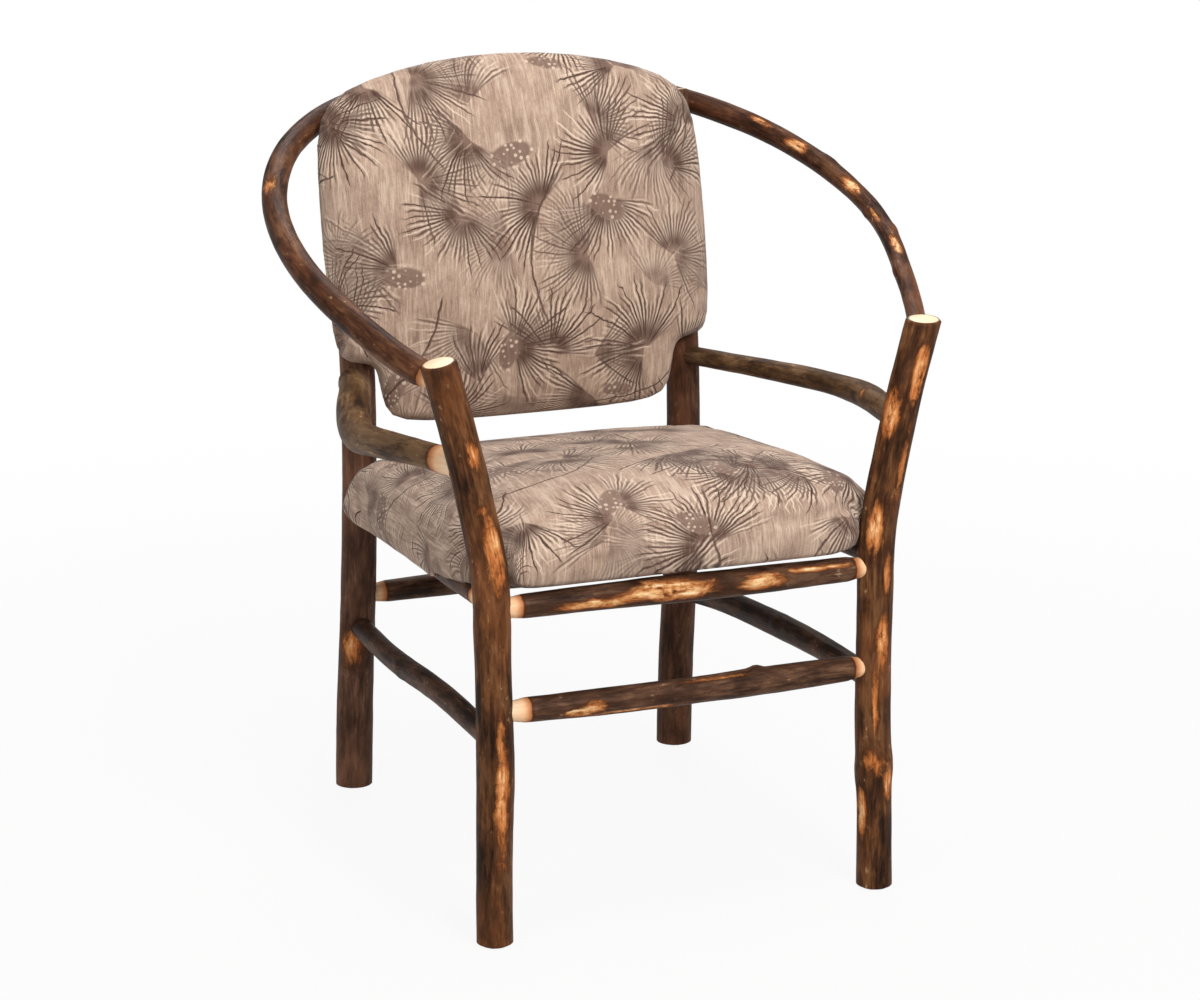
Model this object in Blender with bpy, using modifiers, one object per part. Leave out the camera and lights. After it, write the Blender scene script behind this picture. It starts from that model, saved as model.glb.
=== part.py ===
"""Hickory hoop armchair: bark-on poles, a bent hoop, an upholstered seat and back.

Metres, +Z up, the sitter faces -Y. The origin lies on the floor under the middle of the outline.
"""
import math

import bmesh
import bpy
from mathutils import Matrix, Quaternion, Vector

# Fits and resolution
CLEAR = 0.0003
WELD = 0.00001
ROUNDNESS = 4
LATHE_STEPS = 12
LATHE_TURN = math.radians(8.0)
PATH_STEPS = 12
HOOP_STEPS = 4
SHARP_ANGLE = math.radians(42.0)

# Stance of the four posts
FRONT_SPREAD = 0.213
REAR_SPREAD = 0.202
FRONT_Y = -0.219
REAR_Y = 0.258
FRONT_RISE = 0.232
REAR_RISE = 0.414
FRONT_FLARE = 0.050
FRONT_BEND_RISE = 0.011
FRONT_LEAN = 0.010
REAR_RAKE = 0.037
BACK_BEND_RISE = 0.096
BACK_TILT = math.radians(6.6)
FRONT_RADIUS = 0.0190
REAR_RADIUS = 0.0212
REAR_TOP_RADIUS = 0.0192
FOOT_CHAMFER = 0.003
TOP_CHAMFER = 0.002
NECK = 0.008
SAW_SLOPE = {"left": (-0.23, -0.05), "right": (0.02, -0.10)}

# Poles between the posts
TENON_RADIUS = 0.0106
TENON_DEPTH = 0.0100
SHOULDER = 0.014
SEAT_RAIL_RADIUS = 0.0140
SIDE_RAIL_RADIUS = 0.0122
STRETCHER_RADIUS = 0.0140
SIDE_STRETCHER_RADIUS = 0.0132
FRONT_RAIL_DROP = 0.0215
FRONT_STRETCHER_Z = 0.245
REAR_STRETCHER_Z = 0.236
REAR_RAIL_DROP = 0.032
SIDE_STRETCHER_FRONT_Z = {"left": 0.214, "right": 0.229}
SIDE_STRETCHER_REAR_Z = {"left": 0.200, "right": 0.197}
SIDE_RAIL_OUT = 0.004

# Arms
ARM_RADIUS = 0.0135
ARM_FRONT_RISE = {"left": 0.127, "right": 0.133}
ARM_REAR_RISE = {"left": 0.114, "right": 0.111}
ARM_BOW = 0.046
ELBOW_DROP = 0.018

# Hoop
HOOP_HALF_WIDTH = 0.332
HOOP_REAR_Y = 0.385
HOOP_RISE = 0.209
HOOP_TILT = math.radians(20.0)
HOOP_RADIUS = 0.0135
HOOP_THICK_END = 0.0142
HOOP_THIN_END = 0.0112
HOOP_TENON_RADIUS = 0.0092
SADDLE_DEPTH = 0.0030

# Seat
SEAT_Z = 0.3740
SEAT_DROP = 0.0165
SEAT_BOARD = 0.012
SEAT_FOAM = 0.050
SEAT_CROWN = 0.022
SEAT_WEDGE = 0.32
SEAT_SKIRT = 0.019
SEAT_FRONT_Y = -0.226
SEAT_FRONT_SAG = 0.003
SEAT_BOW = 0.004
SEAT_CORNER = 0.012
SEAT_EAR = 0.0105
SEAT_EDGE_FALL = 0.18
SEAT_GAP = 0.0065

# Back
BACK_BOTTOM_RISE = 0.066
BACK_TOP_RISE = 0.468
WING_RISE = 0.138
BACK_HALF_WIDTH = 0.2235
STEM_HALF_WIDTH = 0.172
BACK_CORNER = 0.017
WING_CORNER = 0.0125
BACK_SHOULDER = 0.865
BACK_BOW = 0.003
BACK_SHIFT = -0.0065
BACK_SKEW = -0.012
BACK_BOARD = 0.012
BACK_FOAM = 0.028
BACK_CROWN = 0.016

# Cloth
FABRIC = 0.0012
FOAM_GAP = 0.0006
HEM_GAP = 0.0008
DUST_SHEET = 0.0008
PANEL_SHARE = 0.955
BOARD_INSET = 0.0152
SEAT_BOARD_INSET = 0.0160
DUST_SHARE = 0.850

# Screws
HEAD_RADIUS = 0.0050
HEAD_HEIGHT = 0.0035
SHANK_RADIUS = 0.0022
SCREW_TIP = 0.004
HEAD_SINK = 0.004
HOLE_RUN_OUT = 0.012
HOOP_SCREW_BITE = 0.019
BOARD_BITE = 0.008
BACK_SCREW_LOW = 0.22
BACK_SCREW_HIGH = 0.78
SEAT_SCREW_FRONT = 0.22
SEAT_SCREW_REAR = 0.80

# Heights over the floor of what is set from the seat
FRONT_HEIGHT = SEAT_Z + FRONT_RISE
REAR_HEIGHT = SEAT_Z + REAR_RISE
FRONT_BEND_Z = SEAT_Z + FRONT_BEND_RISE
BACK_BEND_Z = SEAT_Z + BACK_BEND_RISE
FRONT_RAIL_Z = SEAT_Z - FRONT_RAIL_DROP
REAR_RAIL_Z = SEAT_Z - REAR_RAIL_DROP
HOOP_FRONT_Z = SEAT_Z + HOOP_RISE
BACK_BOTTOM_Z = SEAT_Z + BACK_BOTTOM_RISE
BACK_TOP_Z = SEAT_Z + BACK_TOP_RISE
WING_Z = SEAT_Z + WING_RISE

# Seat slope and the chair's place over the origin
SEAT_DEPTH = REAR_Y - FRONT_Y
SEAT_TILT = math.atan2(SEAT_DROP, SEAT_DEPTH)
MIDDLE_Y = (HOOP_REAR_Y + HOOP_RADIUS + FRONT_Y - FRONT_RADIUS) / 2.0


def clear_scene():
    for item in list(bpy.data.objects):
        bpy.data.objects.remove(item)


clear_scene()
PARTS = bpy.data.collections.new("hickory_hoop_chair")
CUTTERS = bpy.data.collections.new("cutters")
bpy.context.scene.collection.children.link(PARTS)
bpy.context.scene.collection.children.link(CUTTERS)
ROOT = bpy.data.objects.new("chair_origin", None)
ROOT.location = (0.0, -MIDDLE_Y, 0.0)
PARTS.objects.link(ROOT)


def material(name, colour, roughness, metallic=0.0):
    made = bpy.data.materials.new(name)
    made.use_nodes = True
    shader = made.node_tree.nodes["Principled BSDF"]
    shader.inputs["Base Color"].default_value = (*colour, 1.0)
    shader.inputs["Roughness"].default_value = roughness
    shader.inputs["Metallic"].default_value = metallic
    made.diffuse_color = (*colour, 1.0)
    return made


BARK = material("hickory_bark", (0.090, 0.045, 0.026), 0.38)
DARK_BARK = material("rear_post_bark", (0.058, 0.032, 0.021), 0.42)
PEELED = material("hoop_bark", (0.130, 0.062, 0.030), 0.35)
RUNG_BARK = material("rung_bark", (0.160, 0.078, 0.038), 0.36)
PLY = material("plywood", (0.520, 0.360, 0.200), 0.60)
FOAM = material("foam", (0.780, 0.720, 0.520), 0.95)
CLOTH = material("printed_cloth", (0.300, 0.220, 0.165), 0.90)
LINING = material("dust_cloth", (0.020, 0.020, 0.022), 0.95)
STEEL = material("zinc_screw", (0.560, 0.550, 0.520), 0.35, 1.0)


def spline(points, steps=PATH_STEPS):
    """Smooth run through the points, given as vectors or plain numbers."""
    last = len(points) - 1
    run = []
    for i in range(last):
        before = points[max(i - 1, 0)]
        start = points[i]
        end = points[i + 1]
        after = points[min(i + 2, last)]
        for k in range(steps):
            t = k / steps
            a = start * 2.0
            b = (end - before) * t
            c = (before * 2.0 - start * 5.0 + end * 4.0 - after) * (t * t)
            d = (start * 3.0 - before - end * 3.0 + after) * (t * t * t)
            run.append((a + b + c + d) * 0.5)
    run.append(points[last])
    return run


def lengths(line):
    total = [0.0]
    for a, b in zip(line[:-1], line[1:]):
        total.append(total[-1] + (b - a).length)
    return total


def at_length(line, marks, s):
    """Point of a line at the length s, carried on straight past either end."""
    k = 0
    while k < len(marks) - 2 and marks[k + 1] < s:
        k += 1
    share = (s - marks[k]) / (marks[k + 1] - marks[k])
    return line[k].lerp(line[k + 1], share) if 0.0 <= share <= 1.0 else (
        line[k] + (line[k + 1] - line[k]) * share)


def at_share(values, share):
    """Value of an evenly spaced run at a share of its length."""
    place = max(0.0, min(1.0, share)) * (len(values) - 1)
    k = min(int(place), len(values) - 2)
    return values[k] + (values[k + 1] - values[k]) * (place - k)


def at_height(line, z):
    """Point of a rising line at the height z."""
    k = 0
    while k < len(line) - 2 and line[k + 1].z < z:
        k += 1
    return line[k].lerp(line[k + 1], (z - line[k].z) / (line[k + 1].z - line[k].z))


def place(item, collection, parent=ROOT):
    collection.objects.link(item)
    item.parent = parent
    if collection is CUTTERS:
        item.hide_render = True
        item.display_type = "WIRE"
    return item


def shade(mesh, paint):
    for face in mesh.polygons:
        face.use_smooth = True
    mesh.set_sharp_from_angle(angle=SHARP_ANGLE)
    if paint:
        mesh.materials.clear()
        mesh.materials.append(paint)


def tube(name, stations, collection, paint=None):
    """Round pole through (point, radius) stations, closed by a flat face at each end."""
    origin = stations[0][0]
    curve = bpy.data.curves.new(name + "_line", "CURVE")
    curve.dimensions = "3D"
    curve.twist_mode = "MINIMUM"
    curve.bevel_depth = 1.0
    curve.bevel_resolution = ROUNDNESS
    curve.use_fill_caps = True
    run = curve.splines.new("POLY")
    run.points.add(len(stations) - 1)
    for point, (spot, girth) in zip(run.points, stations):
        point.co = (*(spot - origin), 1.0)
        point.radius = girth
    holder = bpy.data.objects.new(name + "_line", curve)
    CUTTERS.objects.link(holder)
    ready = holder.evaluated_get(bpy.context.evaluated_depsgraph_get())
    mesh = bpy.data.meshes.new_from_object(ready)
    mesh.name = name
    bpy.data.objects.remove(holder)
    work = bmesh.new()
    work.from_mesh(mesh)
    bmesh.ops.remove_doubles(work, verts=work.verts, dist=WELD)
    bmesh.ops.recalc_face_normals(work, faces=work.faces)
    work.to_mesh(mesh)
    work.free()
    shade(mesh, paint)
    item = bpy.data.objects.new(name, mesh)
    item.location = origin
    return place(item, collection)


def cut(target, *cutters):
    for cutter in cutters:
        step = target.modifiers.new(cutter.name, "BOOLEAN")
        step.operation = "DIFFERENCE"
        step.solver = "EXACT"
        step.object = cutter


# Front posts: upright to the seat, then bent outward to the hoop
FRONT_SHARES = (0.0, 0.16, 0.32, 0.50, 0.64, 0.74, 0.86, 1.0)
FRONT_WANDER = (0.002, 0.001, -0.002, -0.001, 0.000, 0.001, 0.000, 0.000)
FRONT_GIRTHS = (1.00, 0.98, 1.01, 0.97, 1.00, 0.99, 0.97, 0.96)
FRONT_STATIONS = 22
BEND_POWER = 1.25


def front_line(side):
    run = []
    for share, wander in zip(FRONT_SHARES, FRONT_WANDER):
        z = FRONT_HEIGHT * share
        rise = max(0.0, (z - FRONT_BEND_Z) / (FRONT_HEIGHT - FRONT_BEND_Z))
        out = FRONT_FLARE * rise ** BEND_POWER
        x = side * (FRONT_SPREAD + out + wander)
        run.append(Vector((x, FRONT_Y + FRONT_LEAN * share, z)))
    return spline(run)


# Rear posts: raked feet, a bend above the arms, then straight along the back
REAR_SHARES = (0.0, 0.22, 0.45, 0.72, 1.0)
REAR_SWEEP = (1.0, 0.80, 0.38, 0.06, 0.0)
REAR_INWARD = {-1.0: 0.004, 1.0: 0.006}
REAR_STATIONS = 20


def rear_line(side):
    run = []
    for share, sweep in zip(REAR_SHARES, REAR_SWEEP):
        x = side * (REAR_SPREAD - REAR_INWARD[side] * share)
        run.append(Vector((x, REAR_Y + REAR_RAKE * sweep, BACK_BEND_Z * share)))
    top = REAR_HEIGHT - BACK_BEND_Z
    for share in (0.08, 0.5, 1.0):
        lift = top * share
        run.append(Vector((x, REAR_Y + lift * math.tan(BACK_TILT), BACK_BEND_Z + lift)))
    return spline(run)


def post_stations(line, girth_at, count, saw=None):
    """Stations from the floor to the top, with both rims eased and the foot sawn level.

    The top is sawn square to the post, or square to the slope saw.
    """
    top = line[-1].z
    heights = [0.0, FOOT_CHAMFER]
    heights += [FOOT_CHAMFER + (top - FOOT_CHAMFER - TOP_CHAMFER) * k / count for k in range(1, count)]
    heights += [top - NECK] if saw else []
    heights += [top - TOP_CHAMFER, top]
    stations = [(at_height(line, z), girth_at(z)) for z in heights]
    if saw:
        neck = stations[-3][0]
        for k in (-2, -1):
            lift = heights[k] - neck.z
            stations[k] = (neck + Vector((saw[0] * lift, saw[1] * lift, lift)), stations[k][1])
    ankle = stations[1][0]
    stations[0] = (Vector((ankle.x, ankle.y, 0.0)), stations[0][1] - FOOT_CHAMFER)
    stations[-1] = (stations[-1][0], stations[-1][1] - TOP_CHAMFER)
    return stations


def front_girth(z):
    return FRONT_RADIUS * at_share(FRONT_GIRTHS, z / FRONT_HEIGHT)


def rear_girth(z):
    share = min(1.0, z / BACK_BEND_Z)
    return REAR_RADIUS + (REAR_TOP_RADIUS - REAR_RADIUS) * share


LINES = {}
POSTS = {}
for label, side in (("left", -1.0), ("right", 1.0)):
    LINES["front", label] = front_line(side)
    LINES["rear", label] = rear_line(side)
    POSTS["front", label] = tube("front_post_" + label, post_stations(
        LINES["front", label], front_girth, FRONT_STATIONS, SAW_SLOPE[label]), PARTS, BARK)
    POSTS["rear", label] = tube("rear_post_" + label, post_stations(
        LINES["rear", label], rear_girth, REAR_STATIONS), PARTS, DARK_BARK)


def on_post(row, label, z):
    return at_height(LINES[row, label], z)


def girth_of(row, z):
    return front_girth(z) if row == "front" else rear_girth(z)


def pole(name, path, girths, seats, paint, count, tenon=TENON_RADIUS, bare=SHOULDER):
    """Pole with a round tenon and a shaved shoulder at each end, and the bores that take it.

    The path runs from one post's middle to the other's; seats are the posts' radii there.
    """
    line = spline(path)
    marks = lengths(line)
    total = marks[-1]
    near, far = seats
    starts = [near - TENON_DEPTH, near + CLEAR, near + CLEAR + bare]
    ends = [total - far - CLEAR - bare, total - far - CLEAR, total - far + TENON_DEPTH]
    body = [starts[2] + (ends[0] - starts[2]) * k / count for k in range(1, count)]
    swell = spline(list(girths))

    def girth(s):
        return at_share(swell, (s - starts[2]) / (ends[0] - starts[2]))

    places = starts + body + ends
    widths = [tenon, tenon, girth(starts[2])] + [girth(s) for s in body] + [girth(ends[0]), tenon, tenon]
    solid = [(at_length(line, marks, s), w) for s, w in zip(places, widths)]
    places[0] -= CLEAR
    places[-1] += CLEAR
    loose = [(at_length(line, marks, s), w + CLEAR) for s, w in zip(places, widths)]
    item = tube(name, solid, PARTS, paint)
    bore = tube(name + "_bore", loose, CUTTERS)
    return item, bore, line


def between(start, end, bends):
    """Path from start to end through (share, offset) bends."""
    return [start] + [start.lerp(end, share) + Vector(offset) for share, offset in bends] + [end]


# Cross poles: front and rear seat rails, front and rear stretchers
CROSS_STATIONS = 9
CROSS = {
    "front_seat_rail": ("front", FRONT_RAIL_Z, SEAT_RAIL_RADIUS, RUNG_BARK,
                        ((0.3, (0.0, -0.001, 0.001)), (0.65, (0.0, 0.001, -0.001))),
                        (0.90, 0.97, 1.04, 1.00, 0.92)),
    "front_stretcher": ("front", FRONT_STRETCHER_Z, STRETCHER_RADIUS, RUNG_BARK,
                        ((0.35, (0.0, -0.002, -0.002)), (0.70, (0.0, -0.002, -0.001))),
                        (0.92, 1.00, 0.98, 1.04, 0.95)),
    "rear_seat_rail": ("rear", REAR_RAIL_Z, STRETCHER_RADIUS, DARK_BARK,
                       ((0.35, (0.0, 0.001, -0.001)), (0.70, (0.0, 0.001, 0.001))),
                       (0.92, 1.00, 1.02, 0.98, 0.92)),
    "rear_stretcher": ("rear", REAR_STRETCHER_Z, STRETCHER_RADIUS, DARK_BARK,
                       ((0.40, (0.0, 0.001, 0.001)), (0.75, (0.0, 0.001, -0.002))),
                       (0.90, 0.98, 1.00, 0.98, 0.92)),
}
for name, (row, z, radius, paint, bends, swell) in CROSS.items():
    path = between(on_post(row, "left", z), on_post(row, "right", z), bends)
    seat = girth_of(row, z)
    item, bore, line = pole(name, path, [radius * s for s in swell], (seat, seat), paint, CROSS_STATIONS)
    cut(POSTS[row, "left"], bore)
    cut(POSTS[row, "right"], bore)


def seat_height(y):
    """Height of the seat board's underside."""
    return SEAT_Z - SEAT_DROP * (y - FRONT_Y) / SEAT_DEPTH


# Side poles: the rails carry the seat board, the stretchers are low and crooked
SIDE_STATIONS = 9
STRETCHER_BENDS = {
    "left": ((0.35, (-0.001, 0.0, 0.004)), (0.70, (-0.003, 0.0, -0.002))),
    "right": ((0.30, (0.004, 0.0, 0.008)), (0.72, (0.003, 0.0, 0.010))),
}
STRETCHER_SWELL = {"left": (0.90, 0.93, 0.95, 0.92, 0.90), "right": (0.94, 1.02, 1.06, 1.00, 0.93)}
RAIL_SWELL = (0.90, 1.00, 1.00, 1.00, 0.90)
SIDE_RAILS = {}
RAIL_BORES = {}
for label, side in (("left", -1.0), ("right", 1.0)):
    ends = []
    for row in ("front", "rear"):
        middle = on_post(row, label, SEAT_Z)
        z = seat_height(middle.y) - (SIDE_RAIL_RADIUS + CLEAR) / math.cos(SEAT_TILT)
        ends.append(Vector((middle.x + side * SIDE_RAIL_OUT, middle.y, z)))
    seats = (girth_of("front", ends[0].z), girth_of("rear", ends[1].z))
    item, bore, line = pole(label + "_seat_rail", between(ends[0], ends[1], ()), [
        SIDE_RAIL_RADIUS * s for s in RAIL_SWELL], seats, RUNG_BARK, SIDE_STATIONS)
    SIDE_RAILS[label] = (item, line)
    RAIL_BORES[label] = bore
    low = on_post("front", label, SIDE_STRETCHER_FRONT_Z[label])
    back = on_post("rear", label, SIDE_STRETCHER_REAR_Z[label])
    seats = (girth_of("front", low.z), girth_of("rear", back.z))
    item, low_bore, line = pole(label + "_stretcher", between(low, back, STRETCHER_BENDS[label]), [
        SIDE_STRETCHER_RADIUS * s for s in STRETCHER_SWELL[label]], seats, RUNG_BARK, SIDE_STATIONS)
    for row in ("front", "rear"):
        cut(POSTS[row, label], bore, low_bore)


# Arms: from the rear posts outward and forward to the front posts
ARM_STATIONS = 15
ARM_SHARES = {
    "left": ((0.12, 0.38, -0.30), (0.27, 0.78, -1.02), (0.44, 1.06, -1.05), (0.60, 1.04, -0.52),
             (0.76, 0.80, -0.12), (0.90, 0.36, 0.0)),
    "right": ((0.10, 0.16, 0.06), (0.27, 0.50, 0.08), (0.44, 0.86, 0.06), (0.60, 0.97, 0.05),
              (0.74, 0.79, 0.05), (0.89, 0.33, 0.02)),
}
ARM_SWELL = {"left": (1.30, 1.36, 1.30, 1.20, 1.06, 1.02), "right": (0.80, 0.82, 0.88, 0.94, 1.06, 0.96)}
for label, side in (("left", -1.0), ("right", 1.0)):
    root = on_post("rear", label, SEAT_Z + ARM_REAR_RISE[label])
    tip = on_post("front", label, SEAT_Z + ARM_FRONT_RISE[label])
    bends = [(share, (side * ARM_BOW * out, 0.0, ELBOW_DROP * sag)) for share, out, sag in ARM_SHARES[label]]
    seats = (girth_of("rear", root.z), girth_of("front", tip.z))
    item, bore, line = pole("arm_" + label, between(root, tip, bends), [
        ARM_RADIUS * s for s in ARM_SWELL[label]], seats, BARK, ARM_STATIONS)
    cut(POSTS["rear", label], bore)
    cut(POSTS["front", label], bore)


# Hoop: one bent pole in a tilted plane, from one front post round the back to the other
HOOP_STATIONS = 40
HOOP_CENTRE_Y = 0.040
HOOP_SHARES = (0.50, 0.667, 0.833)
HOOP_REACH = {"left": (1.026, 1.003, 1.008), "right": (1.026, 1.003, 0.992)}
SADDLE_ROUNDS = 8
hoop_ends = {label: on_post("front", label, HOOP_FRONT_Z) for label in ("left", "right")}
hoop_start = hoop_ends["left"].y


def hoop_height(y):
    return HOOP_FRONT_Z + (y - hoop_start) * math.tan(HOOP_TILT)


def polar(spot):
    """Turn from straight back and distance of a point, in plan about the hoop's centre."""
    return Vector((math.atan2(abs(spot.x), spot.y - HOOP_CENTRE_Y),
                   math.hypot(spot.x, spot.y - HOOP_CENTRE_Y)))


def saddle(label):
    """Turn and distance at which the hoop bears on the back of a rear post."""
    y = REAR_Y
    for step in range(SADDLE_ROUNDS):
        post = on_post("rear", label, hoop_height(y))
        spot = polar(post)
        spot.y += rear_girth(post.z) + HOOP_RADIUS - SADDLE_DEPTH
        y = HOOP_CENTRE_Y + spot.y * math.cos(spot.x)
    return spot


def hoop_side(label):
    """Turns and distances of one half of the hoop, from the rear post to the front post."""
    end = polar(hoop_ends[label])
    sides = [Vector((end.x * share, HOOP_HALF_WIDTH * reach))
             for share, reach in zip(HOOP_SHARES, HOOP_REACH[label])]
    return [saddle(label)] + sides + [end]


hoop_run = [Vector((-spot.x, spot.y)) for spot in reversed(hoop_side("left"))]
hoop_run += [Vector((0.0, HOOP_REAR_Y - HOOP_CENTRE_Y))] + hoop_side("right")
hoop_path = []
for spot in spline(hoop_run, HOOP_STEPS):
    y = HOOP_CENTRE_Y + spot.y * math.cos(spot.x)
    hoop_path.append(Vector((spot.y * math.sin(spot.x), y, hoop_height(y))))
hoop_girths = [HOOP_THICK_END, HOOP_RADIUS, HOOP_RADIUS, HOOP_RADIUS, HOOP_THIN_END]
hoop_seats = (front_girth(HOOP_FRONT_Z), front_girth(HOOP_FRONT_Z))
HOOP, hoop_bore, hoop_line = pole("hoop", hoop_path, hoop_girths, hoop_seats, PEELED, HOOP_STATIONS,
                                  HOOP_TENON_RADIUS)
for label in ("left", "right"):
    cut(POSTS["front", label], hoop_bore)
    cut(POSTS["rear", label], hoop_bore)


def lathe(name, profile, spot, along, collection, paint=None):
    """Solid turned from a half profile, its top at the spot and its axis pointing along."""
    mesh = bpy.data.meshes.new(name)
    points = [(radius, 0.0, -depth) for radius, depth in profile]
    mesh.from_pydata(points, [(k, k + 1) for k in range(len(points) - 1)], [])
    if paint:
        mesh.materials.append(paint)
    item = bpy.data.objects.new(name, mesh)
    item.location = spot
    spin_start = Quaternion((0.0, 0.0, 1.0), LATHE_TURN)
    item.rotation_euler = ((-along).to_track_quat("Z", "Y") @ spin_start).to_euler()
    spin = item.modifiers.new("spin", "SCREW")
    spin.steps = LATHE_STEPS
    spin.render_steps = LATHE_STEPS
    spin.use_merge_vertices = True
    spin.merge_threshold = WELD
    spin.use_smooth_shade = False
    return place(item, collection)


def screw(name, spot, along, length, targets):
    """Countersunk screw with its head at the spot, and its hole through each target."""
    profile = [(0.0, 0.0), (HEAD_RADIUS, 0.0), (SHANK_RADIUS, HEAD_HEIGHT),
               (SHANK_RADIUS, length - SCREW_TIP), (0.0, length)]
    item = lathe(name, profile, spot, along, PARTS, STEEL)
    wide = HEAD_RADIUS + CLEAR
    slim = SHANK_RADIUS + CLEAR
    hole = [(0.0, -HOLE_RUN_OUT), (wide, -HOLE_RUN_OUT), (wide, CLEAR), (slim, HEAD_HEIGHT + CLEAR),
            (slim, length - SCREW_TIP + CLEAR), (0.0, length + CLEAR)]
    bore = lathe(name + "_hole", hole, spot, along, CUTTERS)
    for target in targets:
        cut(target, bore)
    return item


# Hoop screws, each through the hoop into the rear post it bears on
for label in ("left", "right"):
    pairs = [((a - b).length, k, m) for k, a in enumerate(hoop_line)
             for m, b in enumerate(LINES["rear", label])]
    nearest = min(pairs)
    hoop_spot = hoop_line[nearest[1]]
    inward = (LINES["rear", label][nearest[2]] - hoop_spot).normalized()
    depth = HOOP_RADIUS - HEAD_SINK
    screw("hoop_screw_" + label, hoop_spot - inward * depth, inward, depth + HOOP_RADIUS + HOOP_SCREW_BITE,
          (HOOP, POSTS["rear", label]))


def mirrored(half):
    """Closed outline from its right half, listed from the middle of one edge to the other."""
    return list(half) + [(-p[0], *p[1:]) for p in reversed(half[1:-1])]


def eased(outline, times):
    """The outline with its corners drawn out, each point moved between its neighbours."""
    run = list(outline)
    for step in range(times):
        run = [tuple((a + 2.0 * b + c) / 4.0 for a, b, c in zip(run[k - 1], run[k], run[(k + 1) % len(run)]))
               for k in range(len(run))]
    return run


def rings_mesh(name, outline, middle, rings, crown, closed, rise=None):
    """Soft form lofted through scaled outlines and closed by a crown.

    Each ring is (scale, height, skirt share, easing); outline points are (x, y, skirt).
    """
    work = bmesh.new()
    rows = []
    for scale, height, skirt, ease in rings:
        row = []
        for x, y, drop in eased(outline, ease):
            lift = height * rise(y) if rise and height > 0.0 else height
            px = middle[0] + (x - middle[0]) * scale
            py = middle[1] + (y - middle[1]) * scale
            row.append(work.verts.new((px, py, lift - drop * skirt)))
        rows.append(row)
    count = len(outline)
    for low, high in zip(rows[:-1], rows[1:]):
        for k in range(count):
            n = (k + 1) % count
            work.faces.new((low[k], low[n], high[n], high[k]))
    peak = work.verts.new((middle[0], middle[1], crown))
    for k in range(count):
        work.faces.new((rows[-1][k], rows[-1][(k + 1) % count], peak))
    if closed:
        base = work.verts.new((middle[0], middle[1], rings[0][1]))
        for k in range(count):
            work.faces.new((rows[0][(k + 1) % count], rows[0][k], base))
    bmesh.ops.recalc_face_normals(work, faces=work.faces)
    mesh = bpy.data.meshes.new(name)
    work.to_mesh(mesh)
    work.free()
    return mesh


def soft(name, mesh, paint, parent, spot, turn, cloth):
    shade(mesh, paint)
    item = bpy.data.objects.new(name, mesh)
    item.location = spot
    item.rotation_euler = turn
    round_off = item.modifiers.new("round", "SUBSURF")
    round_off.levels = 1
    round_off.render_levels = 1
    if cloth:
        shell = item.modifiers.new("cloth", "SOLIDIFY")
        shell.thickness = FABRIC
        shell.offset = 1.0
    return place(item, PARTS, parent)


def scaled(outline, middle, share):
    """The outline drawn in about its middle."""
    return [(middle[0] + (x - middle[0]) * share, middle[1] + (y - middle[1]) * share)
            for x, y, drop in outline]


def inset(outline, amount):
    """The outline moved inward by an even margin."""
    run = []
    for k, (x, y, drop) in enumerate(outline):
        before = outline[k - 1]
        after = outline[(k + 1) % len(outline)]
        along = Vector((after[0] - before[0], after[1] - before[1])).normalized()
        run.append((x - along.y * amount, y + along.x * amount))
    return run


def plate(name, points, low, thickness, paint, spot, turn):
    """Flat sheet cut to the points, its underside at the height low."""
    mesh = bpy.data.meshes.new(name)
    mesh.from_pydata([(x, y, low) for x, y in points], [], [list(range(len(points)))])
    mesh.materials.append(paint)
    item = bpy.data.objects.new(name, mesh)
    item.location = spot
    item.rotation_euler = turn
    thick = item.modifiers.new("thick", "SOLIDIFY")
    thick.thickness = thickness
    thick.offset = 1.0
    return place(item, PARTS)


def slab_cutter(name, reach, low, high, spot, turn):
    mesh = bpy.data.meshes.new(name)
    work = bmesh.new()
    size = Matrix.Diagonal((reach * 2.0, reach * 2.0, high - low, 1.0))
    shift = Matrix.Translation((0.0, 0.0, (low + high) / 2.0))
    bmesh.ops.create_cube(work, size=1.0, matrix=shift @ size)
    work.to_mesh(mesh)
    work.free()
    item = bpy.data.objects.new(name, mesh)
    item.location = spot
    item.rotation_euler = turn
    return place(item, CUTTERS)


def grown(rings, inward, share):
    """The rings drawn in by a share of the outline and lowered by the same amount."""
    return [(scale - share, height - inward if height > 0.0 else height, skirt, ease)
            for scale, height, skirt, ease in rings]


# Seat: board on the side rails, foam, printed cover turned under, dust sheet
seat_spot = Vector((0.0, FRONT_Y, SEAT_Z))
seat_turn = (-SEAT_TILT, 0.0, 0.0)
notch_x = FRONT_SPREAD - FRONT_RADIUS - SEAT_GAP
notch_y = FRONT_RADIUS + SEAT_GAP
side_x = FRONT_SPREAD + SIDE_RAIL_OUT + SIDE_RAIL_RADIUS + FABRIC * 2.0
rear_x = REAR_SPREAD + SIDE_RAIL_OUT + SIDE_RAIL_RADIUS + FABRIC * 2.0 + SEAT_GAP
lead = SEAT_FRONT_Y - FRONT_Y
rear_y = SEAT_DEPTH - REAR_RADIUS - SEAT_GAP


def seat_side(share):
    return side_x + (rear_x - side_x) * share


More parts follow.
